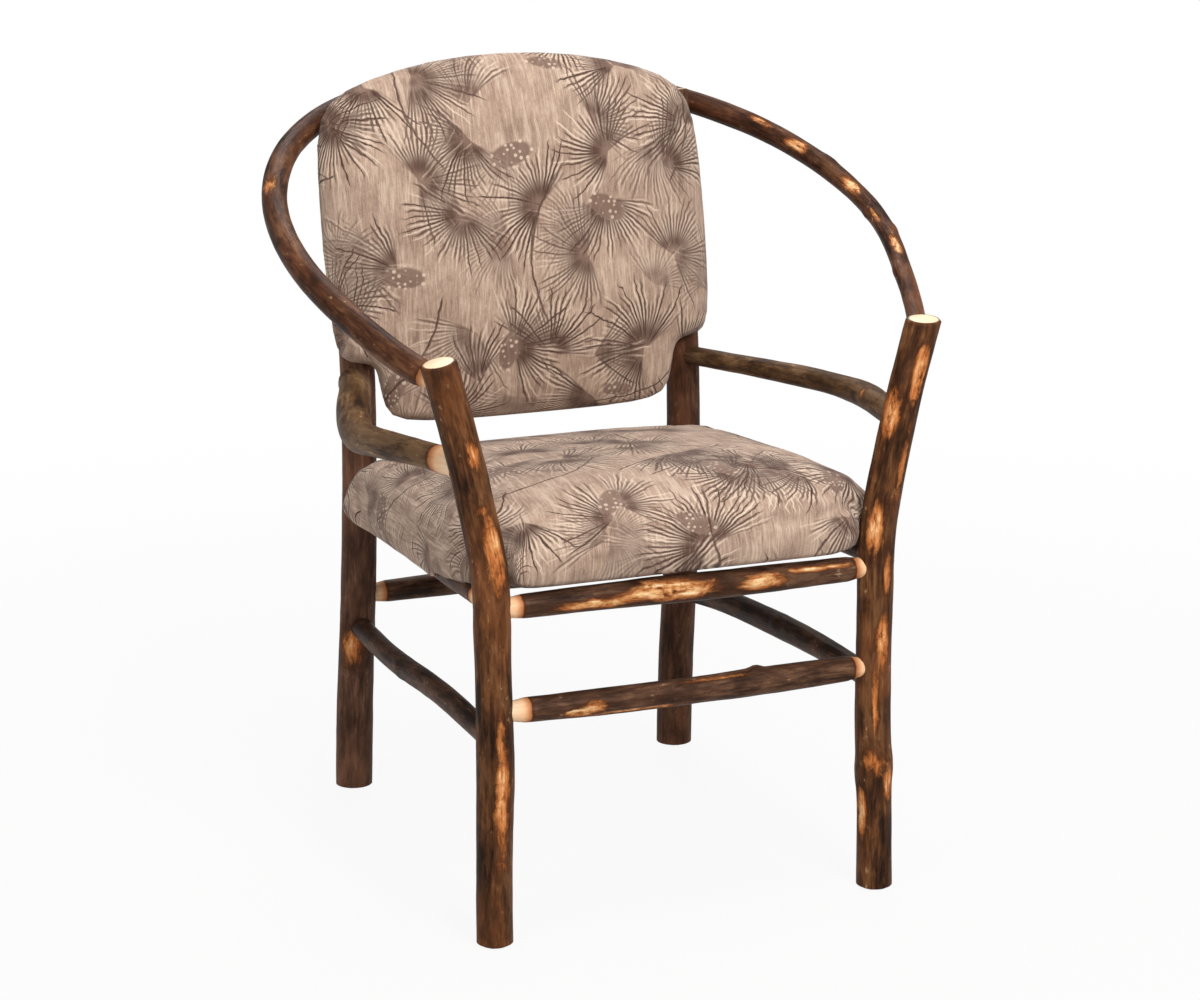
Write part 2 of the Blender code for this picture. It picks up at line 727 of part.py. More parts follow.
seat_half = [
    (0.0, lead - SEAT_BOW, SEAT_FRONT_SAG),
    (notch_x * 0.50, lead - SEAT_BOW, SEAT_FRONT_SAG),
    (notch_x * 0.86, lead, SEAT_FRONT_SAG * 1.5),
    (notch_x, lead + SEAT_CORNER * 0.7, SEAT_FRONT_SAG * 2.0),
    (notch_x, notch_y, SEAT_FRONT_SAG * 2.0),
    (side_x - SEAT_CORNER, notch_y, SEAT_SKIRT * 0.30),
    (side_x, notch_y + SEAT_CORNER, SEAT_SKIRT * 0.40),
    (seat_side(0.25), rear_y * 0.27, SEAT_SKIRT * 0.85),
    (seat_side(0.52), rear_y * 0.52, SEAT_SKIRT),
    (seat_side(0.80), rear_y * 0.80, SEAT_SKIRT),
    (rear_x + SEAT_EAR, rear_y * 0.94, SEAT_SKIRT),
    (rear_x * 0.96, rear_y, SEAT_SKIRT * 0.2),
    (rear_x * 0.50, rear_y + SEAT_BOW, 0.0),
    (0.0, rear_y + SEAT_BOW, 0.0),
]
SEAT_OUTLINE = mirrored(seat_half)
SEAT_MIDDLE = (0.0, rear_y * 0.5)
seat_top = SEAT_BOARD + SEAT_FOAM
seat_peak = seat_top + SEAT_CROWN
SEAT_RINGS = [
    (0.900, -HEM_GAP, 1.0, 0),
    (0.990, -HEM_GAP, 1.0, 0),
    (1.012, seat_top * 0.45, 0.3, 0),
    (0.985, seat_top, SEAT_EDGE_FALL, 1),
    (0.690, seat_top + SEAT_CROWN * 0.80, 0.0, 4),
]


def seat_rise(y):
    return 1.0 + SEAT_WEDGE * (SEAT_MIDDLE[1] - y) / SEAT_DEPTH


seat_cover = soft("seat_cover", rings_mesh("seat_cover", SEAT_OUTLINE, SEAT_MIDDLE, SEAT_RINGS, seat_peak,
                                           False, seat_rise), CLOTH, ROOT, seat_spot, seat_turn, True)
foam_share = FOAM_GAP * 2.0 / side_x
seat_foam = soft("seat_foam", rings_mesh("seat_foam", SEAT_OUTLINE, SEAT_MIDDLE, grown(
    SEAT_RINGS, FOAM_GAP, foam_share), seat_peak - FOAM_GAP, True, seat_rise), FOAM, ROOT,
    seat_spot, seat_turn, False)
seat_board = plate("seat_board", inset(eased(SEAT_OUTLINE, 1), SEAT_BOARD_INSET), 0.0, SEAT_BOARD, PLY,
                   seat_spot, seat_turn)
dust_cover = plate("seat_dust_cover", scaled(SEAT_OUTLINE, SEAT_MIDDLE, DUST_SHARE), -CLEAR - DUST_SHEET,
                   DUST_SHEET, LINING, seat_spot, seat_turn)
under_board = slab_cutter("seat_foam_base", SEAT_DEPTH, -SEAT_DEPTH, SEAT_BOARD + CLEAR, seat_spot, seat_turn)
cut(seat_foam, under_board)
for label in ("left", "right"):
    cut(seat_cover, RAIL_BORES[label])

# Seat screws, up through each side rail into the board
for label in ("left", "right"):
    rail, line = SIDE_RAILS[label]
    marks = lengths(line)
    for spot_name, share in (("front", SEAT_SCREW_FRONT), ("rear", SEAT_SCREW_REAR)):
        middle = at_length(line, marks, marks[-1] * share)
        lift = Vector((0.0, math.sin(SEAT_TILT), math.cos(SEAT_TILT)))
        depth = SIDE_RAIL_RADIUS - HEAD_SINK
        reach = depth + SIDE_RAIL_RADIUS + CLEAR + BOARD_BITE
        screw("seat_screw_" + label + "_" + spot_name, middle - lift * depth, lift, reach,
              (rail, seat_board, dust_cover))

# Back: board against the rear posts, foam, printed cover, outside panel
panel_room = FABRIC + CLEAR * 2.0 + HEM_GAP + FABRIC
face_y = REAR_Y - REAR_TOP_RADIUS / math.cos(BACK_TILT) - CLEAR
back_spot = Vector((0.0, face_y, BACK_BEND_Z))
back_turn = (math.pi / 2.0 - BACK_TILT, 0.0, 0.0)
up_share = 1.0 / math.cos(BACK_TILT)
low = (BACK_BOTTOM_Z - BACK_BEND_Z) * up_share
wing = (WING_Z - BACK_BEND_Z) * up_share
high = (BACK_TOP_Z - BACK_BEND_Z) * up_share
wing_rise = high - wing
back_half = [
    (0.0, low, 0.0),
    (STEM_HALF_WIDTH * 0.55, low, 0.0),
    (STEM_HALF_WIDTH * 0.90, low + BACK_BOW, 0.0),
    (STEM_HALF_WIDTH, low + BACK_CORNER, 0.0),
    (STEM_HALF_WIDTH + BACK_BOW, wing - BACK_CORNER * 0.7, 0.0),
    (STEM_HALF_WIDTH + BACK_CORNER * 0.6, wing, 0.0),
    (BACK_HALF_WIDTH - WING_CORNER, wing, 0.0),
    (BACK_HALF_WIDTH, wing + WING_CORNER, 0.0),
    (BACK_HALF_WIDTH + BACK_BOW, wing + wing_rise * 0.25, 0.0),
    (BACK_HALF_WIDTH + BACK_BOW, wing + wing_rise * 0.52, 0.0),
    (BACK_HALF_WIDTH, wing + wing_rise * 0.76, 0.0),
    (BACK_HALF_WIDTH * 0.94, wing + wing_rise * BACK_SHOULDER, 0.0),
    (BACK_HALF_WIDTH * 0.73, wing + wing_rise * 0.930, 0.0),
    (BACK_HALF_WIDTH * 0.38, wing + wing_rise * 0.985, 0.0),
    (0.0, high, 0.0),
]
BACK_OUTLINE = [(x + BACK_SHIFT + BACK_SKEW * max(0.0, (y - wing) / wing_rise), y, drop)
                for x, y, drop in mirrored(back_half)]
BACK_MIDDLE = (BACK_SHIFT, wing + wing_rise * 0.38)
board_low = panel_room
back_top = board_low + BACK_BOARD + BACK_FOAM
back_peak = back_top + BACK_CROWN
BACK_RINGS = [
    (0.900, board_low - HEM_GAP, 0.0, 0),
    (0.992, board_low - HEM_GAP, 0.0, 0),
    (1.008, board_low + BACK_BOARD * 0.9, 0.0, 0),
    (0.955, back_top * 0.84, 0.0, 1),
    (0.690, back_top + BACK_CROWN * 0.62, 0.0, 5),
]
back_cover = soft("back_cover", rings_mesh("back_cover", BACK_OUTLINE, BACK_MIDDLE, BACK_RINGS, back_peak,
                                           False), CLOTH, ROOT, back_spot, back_turn, True)
back_share = FOAM_GAP * 2.0 / BACK_HALF_WIDTH
back_foam = soft("back_foam", rings_mesh("back_foam", BACK_OUTLINE, BACK_MIDDLE, grown(
    BACK_RINGS, FOAM_GAP, back_share), back_peak - FOAM_GAP, True), FOAM, ROOT, back_spot, back_turn, False)
back_board = plate("back_board", inset(eased(BACK_OUTLINE, 1), BOARD_INSET), board_low, BACK_BOARD, PLY,
                   back_spot, back_turn)
back_panel = plate("back_outside_panel", scaled(BACK_OUTLINE, BACK_MIDDLE, PANEL_SHARE), 0.0, FABRIC, CLOTH,
                   back_spot, back_turn)
behind_board = slab_cutter("back_foam_base", BACK_TOP_Z, -BACK_TOP_Z, board_low + BACK_BOARD + CLEAR,
                           back_spot, back_turn)
cut(back_foam, behind_board)

# Back screws, forward through each rear post into the board
forward = Vector((0.0, -math.cos(BACK_TILT), math.sin(BACK_TILT)))
screw_top = min(REAR_HEIGHT, WING_Z + (BACK_TOP_Z - WING_Z) * BACK_SHOULDER)
for label in ("left", "right"):
    for spot_name, share in (("low", BACK_SCREW_LOW), ("high", BACK_SCREW_HIGH)):
        middle = on_post("rear", label, WING_Z + (screw_top - WING_Z) * share)
        depth = REAR_TOP_RADIUS - HEAD_SINK
        reach = depth + REAR_TOP_RADIUS + CLEAR + panel_room + BOARD_BITE
        screw("back_screw_" + label + "_" + spot_name, middle - forward * depth, forward, reach,
              (POSTS["rear", label], back_panel, back_cover, back_board))

print("ok", len([item for item in PARTS.objects if item.type == "MESH"]), "parts")
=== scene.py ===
"""Looks of the hickory hoop chair: bark-on poles, printed cushions, boards, cloths and screws.

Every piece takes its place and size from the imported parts. Metres, +Z up, the sitter faces -Y.
"""
import math
from functools import partialmethod

import bmesh
import bpy
import numpy as np
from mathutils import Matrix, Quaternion, Vector
from mathutils.kdtree import KDTree


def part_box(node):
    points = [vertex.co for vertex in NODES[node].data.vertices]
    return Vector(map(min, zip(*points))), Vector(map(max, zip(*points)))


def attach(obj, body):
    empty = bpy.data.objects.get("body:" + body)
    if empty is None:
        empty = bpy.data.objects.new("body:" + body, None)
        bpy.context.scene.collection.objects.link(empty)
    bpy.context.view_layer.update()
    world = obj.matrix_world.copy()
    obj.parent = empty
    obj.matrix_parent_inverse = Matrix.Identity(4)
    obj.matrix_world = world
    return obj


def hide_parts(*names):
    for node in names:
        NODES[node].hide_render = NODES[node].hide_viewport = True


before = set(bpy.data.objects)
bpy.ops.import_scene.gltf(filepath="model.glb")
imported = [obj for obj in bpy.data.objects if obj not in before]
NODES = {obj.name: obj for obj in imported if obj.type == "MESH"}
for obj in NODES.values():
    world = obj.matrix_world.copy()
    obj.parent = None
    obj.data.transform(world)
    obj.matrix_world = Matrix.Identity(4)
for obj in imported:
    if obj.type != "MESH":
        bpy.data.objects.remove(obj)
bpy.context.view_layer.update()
scene = bpy.context.scene

# Camera, as solved from the photograph
EYE = (-1.25307, -3.18971, 1.27336)
YAW = math.radians(21.7726)
PITCH = math.radians(14.7227)
ROLL = math.radians(-0.1262)
LENS = 96.888
SENSOR = 36.0
TO_EYE = np.array((-math.sin(YAW) * math.cos(PITCH), -math.cos(YAW) * math.cos(PITCH), math.sin(PITCH)))

LEVEL_ONLY = (1.0, 1.0, 0.0)
WHITE = (1.0, 1.0, 1.0, 1.0)


def linear(r, g, b):
    """Linear colour of an 8-bit one."""
    out = []
    for value in (r, g, b):
        c = value / 255.0
        out.append(c / 12.92 if c <= 0.04045 else ((c + 0.055) / 1.055) ** 2.4)
    return (*out, 1.0)


def linears(*colours):
    return [linear(*colour) for colour in colours]


# Shader helpers
class Nodes:
    """Short calls for building one material's node tree."""

    def __init__(self, name):
        self.material = bpy.data.materials.new(name)
        self.material.use_nodes = True
        self.tree = self.material.node_tree
        self.tree.nodes.clear()
        self.out = self.new("OutputMaterial")
        self.bsdf = self.new("BsdfPrincipled")
        self.put(self.out.inputs[0], self.bsdf.outputs[0])

    def new(self, kind, **settings):
        node = self.tree.nodes.new("ShaderNode" + kind)
        for name, value in settings.items():
            setattr(node, name, value)
        return node

    def put(self, socket, value):
        if hasattr(value, "is_output"):
            self.tree.links.new(value, socket)
        elif value is not None:
            socket.default_value = value

    def fill(self, node, *values):
        """First output of a node whose first inputs take the values."""
        for socket, value in zip(node.inputs, values):
            self.put(socket, value)
        return node.outputs[0]

    def named(self, node, **values):
        """First output of a node whose named inputs take the values."""
        for name, value in values.items():
            self.put(node.inputs[name], value)
        return node.outputs[0]

    def attr(self, name, kind="Fac"):
        return self.new("Attribute", attribute_name=name).outputs[kind]

    def math(self, op, a, b=None, c=None, clamp=False):
        return self.fill(self.new("Math", operation=op, use_clamp=clamp), a, b, c)

    add = partialmethod(math, "ADD")
    sub = partialmethod(math, "SUBTRACT")
    mul = partialmethod(math, "MULTIPLY")
    div = partialmethod(math, "DIVIDE")
    mad = partialmethod(math, "MULTIPLY_ADD")
    most = partialmethod(math, "MAXIMUM")
    size = partialmethod(math, "ABSOLUTE")

    def vec(self, op, a, b=None, scale=None):
        node = self.new("VectorMath", operation=op)
        self.put(node.inputs[0], a)
        self.put(node.inputs[1], b)
        if scale is not None:
            self.put(node.inputs["Scale"], scale)
        return node.outputs["Value" if op in ("LENGTH", "DOT_PRODUCT") else "Vector"]

    def scaled(self, vector, by):
        """A vector stretched by one number, or by one for each axis."""
        return self.vec("SCALE", vector, scale=by) if isinstance(by, float) else self.vec("MULTIPLY", vector, by)

    def noise(self, vector, by=None, detail=4.0, rough=0.55, warp=0.0):
        place = vector if by is None else self.scaled(vector, by)
        return self.named(self.new("TexNoise", noise_dimensions="3D"), Vector=place, Scale=1.0, Detail=detail,
                          Roughness=rough, Distortion=warp)

    def dots(self, vector, scale, scatter):
        """Distance from the nearest of many scattered dots."""
        node = self.new("TexVoronoi", feature="F1")
        self.named(node, Vector=vector, Scale=scale, Randomness=scatter)
        return node.outputs["Distance"]

    def step(self, value, low, high, out_low=0.0, out_high=1.0):
        return self.fill(self.new("MapRange", interpolation_type="SMOOTHSTEP"), value, low, high, out_low, out_high)

    def fall(self, value, low, high):
        return self.step(value, low, high, 1.0, 0.0)

    def ramp(self, value, places, colours):
        node = self.new("ValToRGB")
        points = node.color_ramp.elements
        while len(points) < len(places):
            points.new(0.5)
        for point, place, colour in zip(points, places, colours):
            point.position = place
            point.color = colour
        return self.fill(node, value)

    def mix(self, share, a, b):
        node = self.new("Mix", data_type="RGBA", blend_type="MIX")
        for place, value in ((0, share), (6, a), (7, b)):
            self.put(node.inputs[place], value)
        return node.outputs[2]

    def split(self, vector):
        node = self.new("SeparateXYZ")
        self.fill(node, vector)
        return node.outputs

    def join(self, x, y, z):
        return self.fill(self.new("CombineXYZ"), x, y, z)

    def turned(self, vector, angle):
        return self.named(self.new("VectorRotate", rotation_type="Z_AXIS"), Vector=vector, Angle=angle)

    def bump(self, height, strength, distance):
        return self.named(self.new("Bump"), Strength=strength, Distance=distance, Height=height)

    def finish(self, colour, rough, normal=None, **fixed):
        self.put(self.bsdf.inputs["Base Color"], colour)
        self.named(self.bsdf, Roughness=rough, Normal=normal)
        for name, value in fixed.items():
            self.bsdf.inputs[name.replace("_", " ")].default_value = value
        return self.material


# Noise and arrays in code
HASH_PRIMES = np.array((374761393, 668265263, 1440662683))
HASH_SEED = 974634777
HASH_MIX = 1274126177


def noise3(points, seed):
    """Smooth value noise from -1 to 1 at points of shape (..., 3)."""
    base = np.floor(points).astype(np.int64)
    part = points - base
    part = part * part * (3.0 - 2.0 * part)
    total = np.zeros(points.shape[:-1])
    for corner in range(8):
        step = np.array((corner & 1, corner >> 1 & 1, corner >> 2 & 1))
        n = (base + step) @ HASH_PRIMES + seed * HASH_SEED
        n = (n ^ (n >> 13)) * HASH_MIX & 0xFFFFFFFF
        value = ((n ^ (n >> 16)) & 0xFFFF) / 32767.5 - 1.0
        total += value * np.prod(np.where(step, part, 1.0 - part), axis=-1)
    return total


def smoothstep(low, high, value):
    t = np.clip((value - low) / (high - low), 0.0, 1.0)
    return t * t * (3.0 - 2.0 * t)


def unit(rows):
    return rows / np.linalg.norm(rows, axis=-1, keepdims=True)


def run_marks(points):
    """Length along a run of points up to each of them."""
    return np.concatenate(([0.0], np.cumsum(np.linalg.norm(np.diff(points, axis=0), axis=1))))


def resampled(even, marks, points):
    return np.stack([np.interp(even, marks, points[:, k]) for k in range(3)], 1)


def read(items, field, width, kind=np.float32):
    """A field of a mesh's items, a row for each."""
    out = np.zeros(len(items) * width, kind)
    items.foreach_get(field, out)
    return out.reshape(-1, width)


def coords(mesh):
    return read(mesh.vertices, "co", 3).astype(float)


def normals_of(mesh):
    return read(mesh.vertices, "normal", 3).astype(float)


def edges_of(mesh):
    return read(mesh.edges, "vertices", 2, np.int32)


def put_coords(mesh, points):
    mesh.vertices.foreach_set("co", np.asarray(points, np.float32).ravel())
    mesh.update()


def put_attribute(mesh, name, values):
    values = np.asarray(values, np.float32)
    kind, field = ("FLOAT_VECTOR", "vector") if values.ndim == 2 else ("FLOAT", "value")
    mesh.attributes.new(name, kind, "POINT").data.foreach_set(field, values.ravel())


# Lines of the poles, read from the parts
STEP = 0.0026
BAND = 24
LEAST_POINTS = 6
SKEW = (0.31, 0.17, 0.93)
OUTER_SHARE = 0.88
OUTER_PERCENT = 92
END_REACH = 0.06
END_GAP = 0.004
END_LEAN = 0.0004
RING_REACH = 0.032


def ring_at(verts, edges, spot, normal, reach):
    """Centre and radius of the section of a pole by a plane."""
    d = (verts - spot) @ normal
    a, b = edges[(d[edges[:, 0]] < 0.0) != (d[edges[:, 1]] < 0.0)].T
    t = d[a] / (d[a] - d[b])
    points = verts[a] + t[:, None] * (verts[b] - verts[a])
    points = points[np.linalg.norm(points - spot, axis=1) < reach]
    if len(points) < LEAST_POINTS:
        return None
    side = unit(np.cross(normal, SKEW))
    other = np.cross(normal, side)
    flat = np.stack(((points - spot) @ side, (points - spot) @ other), 1)
    middle = (flat.min(0) + flat.max(0)) / 2.0
    for turn in range(3):
        away = np.linalg.norm(flat - middle, axis=1)
        keep = flat[away > OUTER_SHARE * away.max()]
        system = np.column_stack((2.0 * keep, np.ones(len(keep))))
        fit = np.linalg.lstsq(system, (keep ** 2).sum(1), rcond=None)[0]
        if np.linalg.norm(fit[:2] - middle) < away.max():
            middle = fit[:2]
    radius = np.percentile(np.linalg.norm(flat - middle, axis=1), OUTER_PERCENT)
    return spot + middle[0] * side + middle[1] * other, radius


def smooth_run(values, times):
    out = np.array(values, float)
    for turn in range(times):
        out[1:-1] = (out[:-2] + 2.0 * out[1:-1] + out[2:]) / 4.0
    return out


def pole_line(node, guesses, normals, reach):
    """Centre points, radii and lengths along a pole's part, evenly spaced by about STEP."""
    verts, edges = coords(NODES[node].data), edges_of(NODES[node].data)
    found = [ring_at(verts, edges, np.array(g, float), np.array(n, float), reach)
             for g, n in zip(guesses, normals)]
    spots = smooth_run([f[0] for f in found if f], 6)
    ends = []
    for end, beside in ((spots[0], spots[1]), (spots[-1], spots[-2])):
        outward = unit(end - beside)
        near = verts[np.linalg.norm(verts - end, axis=1) < END_REACH]
        ends.append(end + outward * ((near - end) @ outward).max())
    inner = [p for p in spots if min(np.linalg.norm(p - end) for end in ends) > END_GAP]
    spots = np.array([ends[0]] + inner + [ends[1]])
    marks = run_marks(spots)
    count = int(round(marks[-1] / STEP)) + 1
    even = np.linspace(0.0, marks[-1], count)
    spots = smooth_run(resampled(even, marks, spots), 4)
    tangents = unit(np.gradient(spots, axis=0))
    leans = np.zeros(count)
    leans[0], leans[-1] = END_LEAN, -END_LEAN
    radii = np.full(count, np.nan)
    for k in range(count):
        got = ring_at(verts, edges, spots[k] + tangents[k] * leans[k], tangents[k], RING_REACH)
        if got:
            radii[k] = got[1]
    known = ~np.isnan(radii)
    return spots, np.interp(even, even[known], radii[known]), even


def upright(node, count=60):
    """Guessed centres of a standing pole and the normals of its sections."""
    low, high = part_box(node)
    verts = coords(NODES[node].data)
    guesses = []
    for z in np.linspace(low.z + 0.006, high.z - 0.014, count):
        band = verts[np.argsort(np.abs(verts[:, 2] - z))[:BAND]]
        guesses.append((band[:, 0].mean(), band[:, 1].mean(), z))
    return guesses, [(0.0, 0.0, 1.0)] * count


def lengthwise(node, axis, way=1, count=70):
    """Guessed centres of a lying pole and the normals of its sections."""
    low, high = (np.array(corner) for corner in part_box(node))
    normal = np.zeros(3)
    normal[axis] = way
    guesses = np.tile((low + high) / 2.0, (count, 1))
    guesses[:, axis] = np.linspace(low[axis] + 0.003, high[axis] - 0.003, count)[::way]
    return guesses, [normal] * count


def round_about(node, centre, sweep, count=150):
    """Guessed centres of a bent pole and the normals of its sections."""
    verts = coords(NODES[node].data)
    turns = np.arctan2(verts[:, 0] - centre[0], verts[:, 1] - centre[1])
    places = np.linspace(-sweep, sweep, count)
    guesses = [verts[np.argsort(np.abs(turns - place))[:BAND]].mean(0) for place in places]
    return guesses, [(math.cos(place), -math.sin(place), 0.0) for place in places]


# Camera, stage and light
FLOOR_HALF = 40.0
FLOOR_Z = -0.0005
WORLD_LEVEL = 0.34
LAMP_AIM = Vector((0.0, 0.0, 0.42))
LAMPS = [
    ("key", (0.3, -3.7, 2.9), 1.5, 122.0),
    ("fill", (-3.0, -1.9, 1.9), 2.0, 28.0),
    ("rim", (0.9, 2.6, 2.8), 1.8, 40.0),
    ("top", (0.1, -0.4, 3.4), 1.8, 42.0),
]


def linked(name, data):
    obj = bpy.data.objects.new(name, data)
    scene.collection.objects.link(obj)
    return obj


def aimed(obj, spot, along, roll=0.0):
    obj.location = spot
    obj.rotation_mode = "QUATERNION"
    obj.rotation_quaternion = Vector(along).to_track_quat("-Z", "Y") @ Quaternion((0.0, 0.0, 1.0), roll)


def make_camera():
    data = bpy.data.cameras.new("camera")
    data.lens = LENS
    data.sensor_width = SENSOR
    scene.camera = linked("camera", data)
    aimed(scene.camera, EYE, -TO_EYE, ROLL)


def make_floor():
    """White floor that takes a faint shadow near the chair."""
    n = Nodes("studio_floor")
    n.finish(linear(196, 195, 193), 0.9)
    glow = n.fill(n.new("Emission"), WHITE)
    path = n.new("LightPath").outputs
    seen = n.most(path["Is Camera Ray"], path["Is Glossy Ray"])
    place = n.new("NewGeometry").outputs["Position"]
    far = n.step(n.vec("LENGTH", n.scaled(place, LEVEL_ONLY)), 0.5, 2.2, 0.92, 1.0)
    n.put(n.out.inputs[0], n.fill(n.new("MixShader"), n.mul(seen, far), n.bsdf.outputs[0], glow))
    mesh = bpy.data.meshes.new("studio_floor")
    corners = [(x * FLOOR_HALF, y * FLOOR_HALF, 0.0) for x, y in ((-1, -1), (1, -1), (1, 1), (-1, 1))]
    mesh.from_pydata(corners, [], [(0, 1, 2, 3)])
    mesh.materials.append(n.material)
    floor = linked("studio_floor", mesh)
    floor.location.z = FLOOR_Z


def make_light():
    """White world, dimmer as light than as backdrop, and four lamps."""
    world = bpy.data.worlds.new("studio")
    world.use_nodes = True
    tree = world.node_tree
    back = tree.nodes["Background"]
    back.inputs[0].default_value = WHITE
    path = tree.nodes.new("ShaderNodeLightPath")
    level = tree.nodes.new("ShaderNodeMapRange")
    level.inputs["To Min"].default_value = WORLD_LEVEL
    level.inputs["To Max"].default_value = 1.0
    tree.links.new(path.outputs["Is Camera Ray"], level.inputs["Value"])
    tree.links.new(level.outputs[0], back.inputs[1])
    scene.world = world
    for name, spot, size, power in LAMPS:
        data = bpy.data.lights.new(name, "AREA")
        data.shape = "DISK"
        data.size = size
        data.energy = power
        aimed(linked(name, data), spot, LAMP_AIM - Vector(spot))


# Wood materials
PEACH = linear(232, 170, 122)
SCORCH = linear(168, 96, 50)
CREAM = linears((238, 192, 148), (247, 211, 171), (251, 227, 195))
SAWN_TONES = linears((216, 178, 134), (243, 219, 178), (249, 233, 203))
HEARTWOOD = linear(190, 140, 90)
BARK_RIM = linear(120, 74, 42)
PEEL = linears((138, 76, 38), (184, 112, 60), (218, 162, 104), (246, 218, 172), (76, 41, 22))
PEEL_ORANGE = linears((136, 74, 38), (190, 112, 58), (216, 148, 90), (242, 202, 150), (66, 34, 17))


def bark(name, tones, speck, peeled, gloss, pale_from):
    """Varnished bark with peeled patches and shaved ends, on the pole's straightened coordinates."""
    n = Nodes(name)
    g = n.attr("grain", "Vector")
    streak = n.noise(g, (210.0, 210.0, 24.0), 6.0, 0.66, 0.4)
    fleck = n.noise(g, (170.0, 170.0, 80.0), 4.0, 0.6)
    mottle = n.noise(g, (46.0, 46.0, 20.0), 5.0, 0.62, 0.3)
    broad = n.noise(g, (17.0, 17.0, 8.0), 2.0)
    wood = n.noise(g, (300.0, 300.0, 9.0), 4.0, 0.55, 0.2)
    ragged = n.noise(g, (75.0, 75.0, 30.0), 6.0, 0.72, 0.6)
    blotch = n.noise(g, (120.0, 120.0, 60.0), 4.0, 0.7)
    shade = n.noise(g, (34.0, 34.0, 9.0), 4.0, 0.65, 0.5)
    tone = n.mad(broad, 0.15, n.mad(streak, 0.42, n.mul(mottle, 0.43)))
    tone = n.mad(n.sub(tone, 0.5), 1.7, 0.5)
    colour = n.ramp(tone, (0.34, 0.47, 0.57, 0.72), tones)
    warm = n.mix(n.step(mottle, 0.36, 0.64), tones[1], tones[4])
    colour = n.mix(n.step(broad, 0.44, 0.66, 0.0, 0.55), colour, warm)
    colour = n.mix(n.step(shade, 0.50, 0.66, 0.0, 0.42), colour, tones[0])
    colour = n.mix(n.step(shade, 0.47, 0.34, 0.0, 0.34), colour, tones[3])
    specks = n.mul(n.step(fleck, 0.62, 0.72), n.step(mottle, 0.44, 0.62))
    colour = n.mix(n.mul(specks, 0.60), colour, speck)
    field = n.add(n.attr("peel"), n.mad(ragged, 2.8, -1.4))
    rim = n.step(field, -0.80, 0.05)
    open_wood = n.mul(n.step(field, -0.30, 0.42), n.step(blotch, 0.26, 0.46))
    deep = n.mul(n.step(field, pale_from, pale_from + 0.70), n.step(blotch, 0.38, 0.58))
    bare_tone = n.mad(wood, 0.6, n.mul(blotch, 0.4))
    rich = n.ramp(bare_tone, (0.36, 0.50, 0.66), peeled)
    light = n.ramp(bare_tone, (0.34, 0.47, 0.60), peeled[1:])
    colour = n.mix(n.mul(rim, 0.70), colour, peeled[4])
    colour = n.mix(open_wood, colour, n.mix(deep, rich, light))
    cut = n.add(n.attr("bare"), n.mad(ragged, 0.6, -0.3))
    ring = n.step(cut, -0.60, -0.05)
    shaved = n.step(cut, -0.10, 0.10)
    cream = n.ramp(bare_tone, (0.30, 0.50, 0.68), CREAM)
    cream = n.mix(n.step(cut, 0.2, 2.4, 0.85, 0.0), cream, PEACH)
    cream = n.mix(n.step(cut, 0.0, 1.1, 0.90, 0.0), cream, SCORCH)
    colour = n.mix(n.mul(ring, 0.75), colour, peeled[4])
    colour = n.mix(shaved, colour, cream)
    smooth = n.most(open_wood, shaved)
    height = n.mad(mottle, 0.9, n.mad(streak, 0.9, n.mul(fleck, 0.5)))
    height = n.mad(smooth, -0.6, n.mul(height, n.mad(smooth, -0.8, 1.0)))
    return n.finish(colour, n.mad(streak, 0.25, gloss), n.bump(height, 0.75, 0.0014), Coat_Weight=0.03,
                    Coat_Roughness=0.18, Specular_IOR_Level=0.06)


def end_grain():
    """Sawn end: growth rings, pores, a darker heart and a rim of bark."""
    n = Nodes("sawn_end")
    flat = n.scaled(n.attr("grain", "Vector"), LEVEL_ONLY)
    wobble = n.noise(flat, (120.0, 120.0, 1.0), 3.0)
    away = n.mad(wobble, 0.003, n.vec("LENGTH", flat))
    rings = n.math("SINE", n.mul(away, 2600.0))
    pores = n.noise(flat, (900.0, 900.0, 1.0), 3.0)
    tone = n.mad(rings, 0.10, n.mad(pores, 0.5, 0.25))
    colour = n.ramp(tone, (0.30, 0.50, 0.72), SAWN_TONES)
    colour = n.mix(n.mad(n.step(away, 0.0, 0.004), -0.5, 0.5), colour, HEARTWOOD)
    colour = n.mix(n.step(n.attr("rim"), 0.86, 0.96), colour, BARK_RIM)
    return n.finish(colour, 0.55, n.bump(tone, 0.3, 0.0006), Coat_Weight=0.15, Coat_Roughness=0.3)


# Meshes and pieces
def faces_of(rings, around):
    """Faces between rings of points that follow each other."""
    return [(k * around + j, k * around + (j + 1) % around, (k + 1) * around + (j + 1) % around,
             (k + 1) * around + j) for k in range(rings - 1) for j in range(around)]


def cap_of(hub, first, around, way):
    """Faces from a ring to a hub, wound one way or the other."""
    return [(hub, first + j, first + (j + 1) % around)[::way] for j in range(around)]


def turn_out(mesh):
    """Turns all faces of a closed mesh outward."""
    work = bmesh.new()
    work.from_mesh(mesh)
    bmesh.ops.recalc_face_normals(work, faces=work.faces)
    work.to_mesh(mesh)
    work.free()


def smooth_shaded(mesh, sharp, *paints):
    """Paints a mesh and shades it smooth, with sharp edges over an angle in degrees."""
    mesh.polygons.foreach_set("use_smooth", np.ones(len(mesh.polygons), bool))
    mesh.set_sharp_from_angle(angle=math.radians(sharp))
    for paint in paints:
        mesh.materials.append(paint)


def placed(mesh, node):
    """Piece on the chair's body that stands for a part."""
    obj = linked(mesh.name, mesh)
    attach(obj, "root")
    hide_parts(node)
    return obj


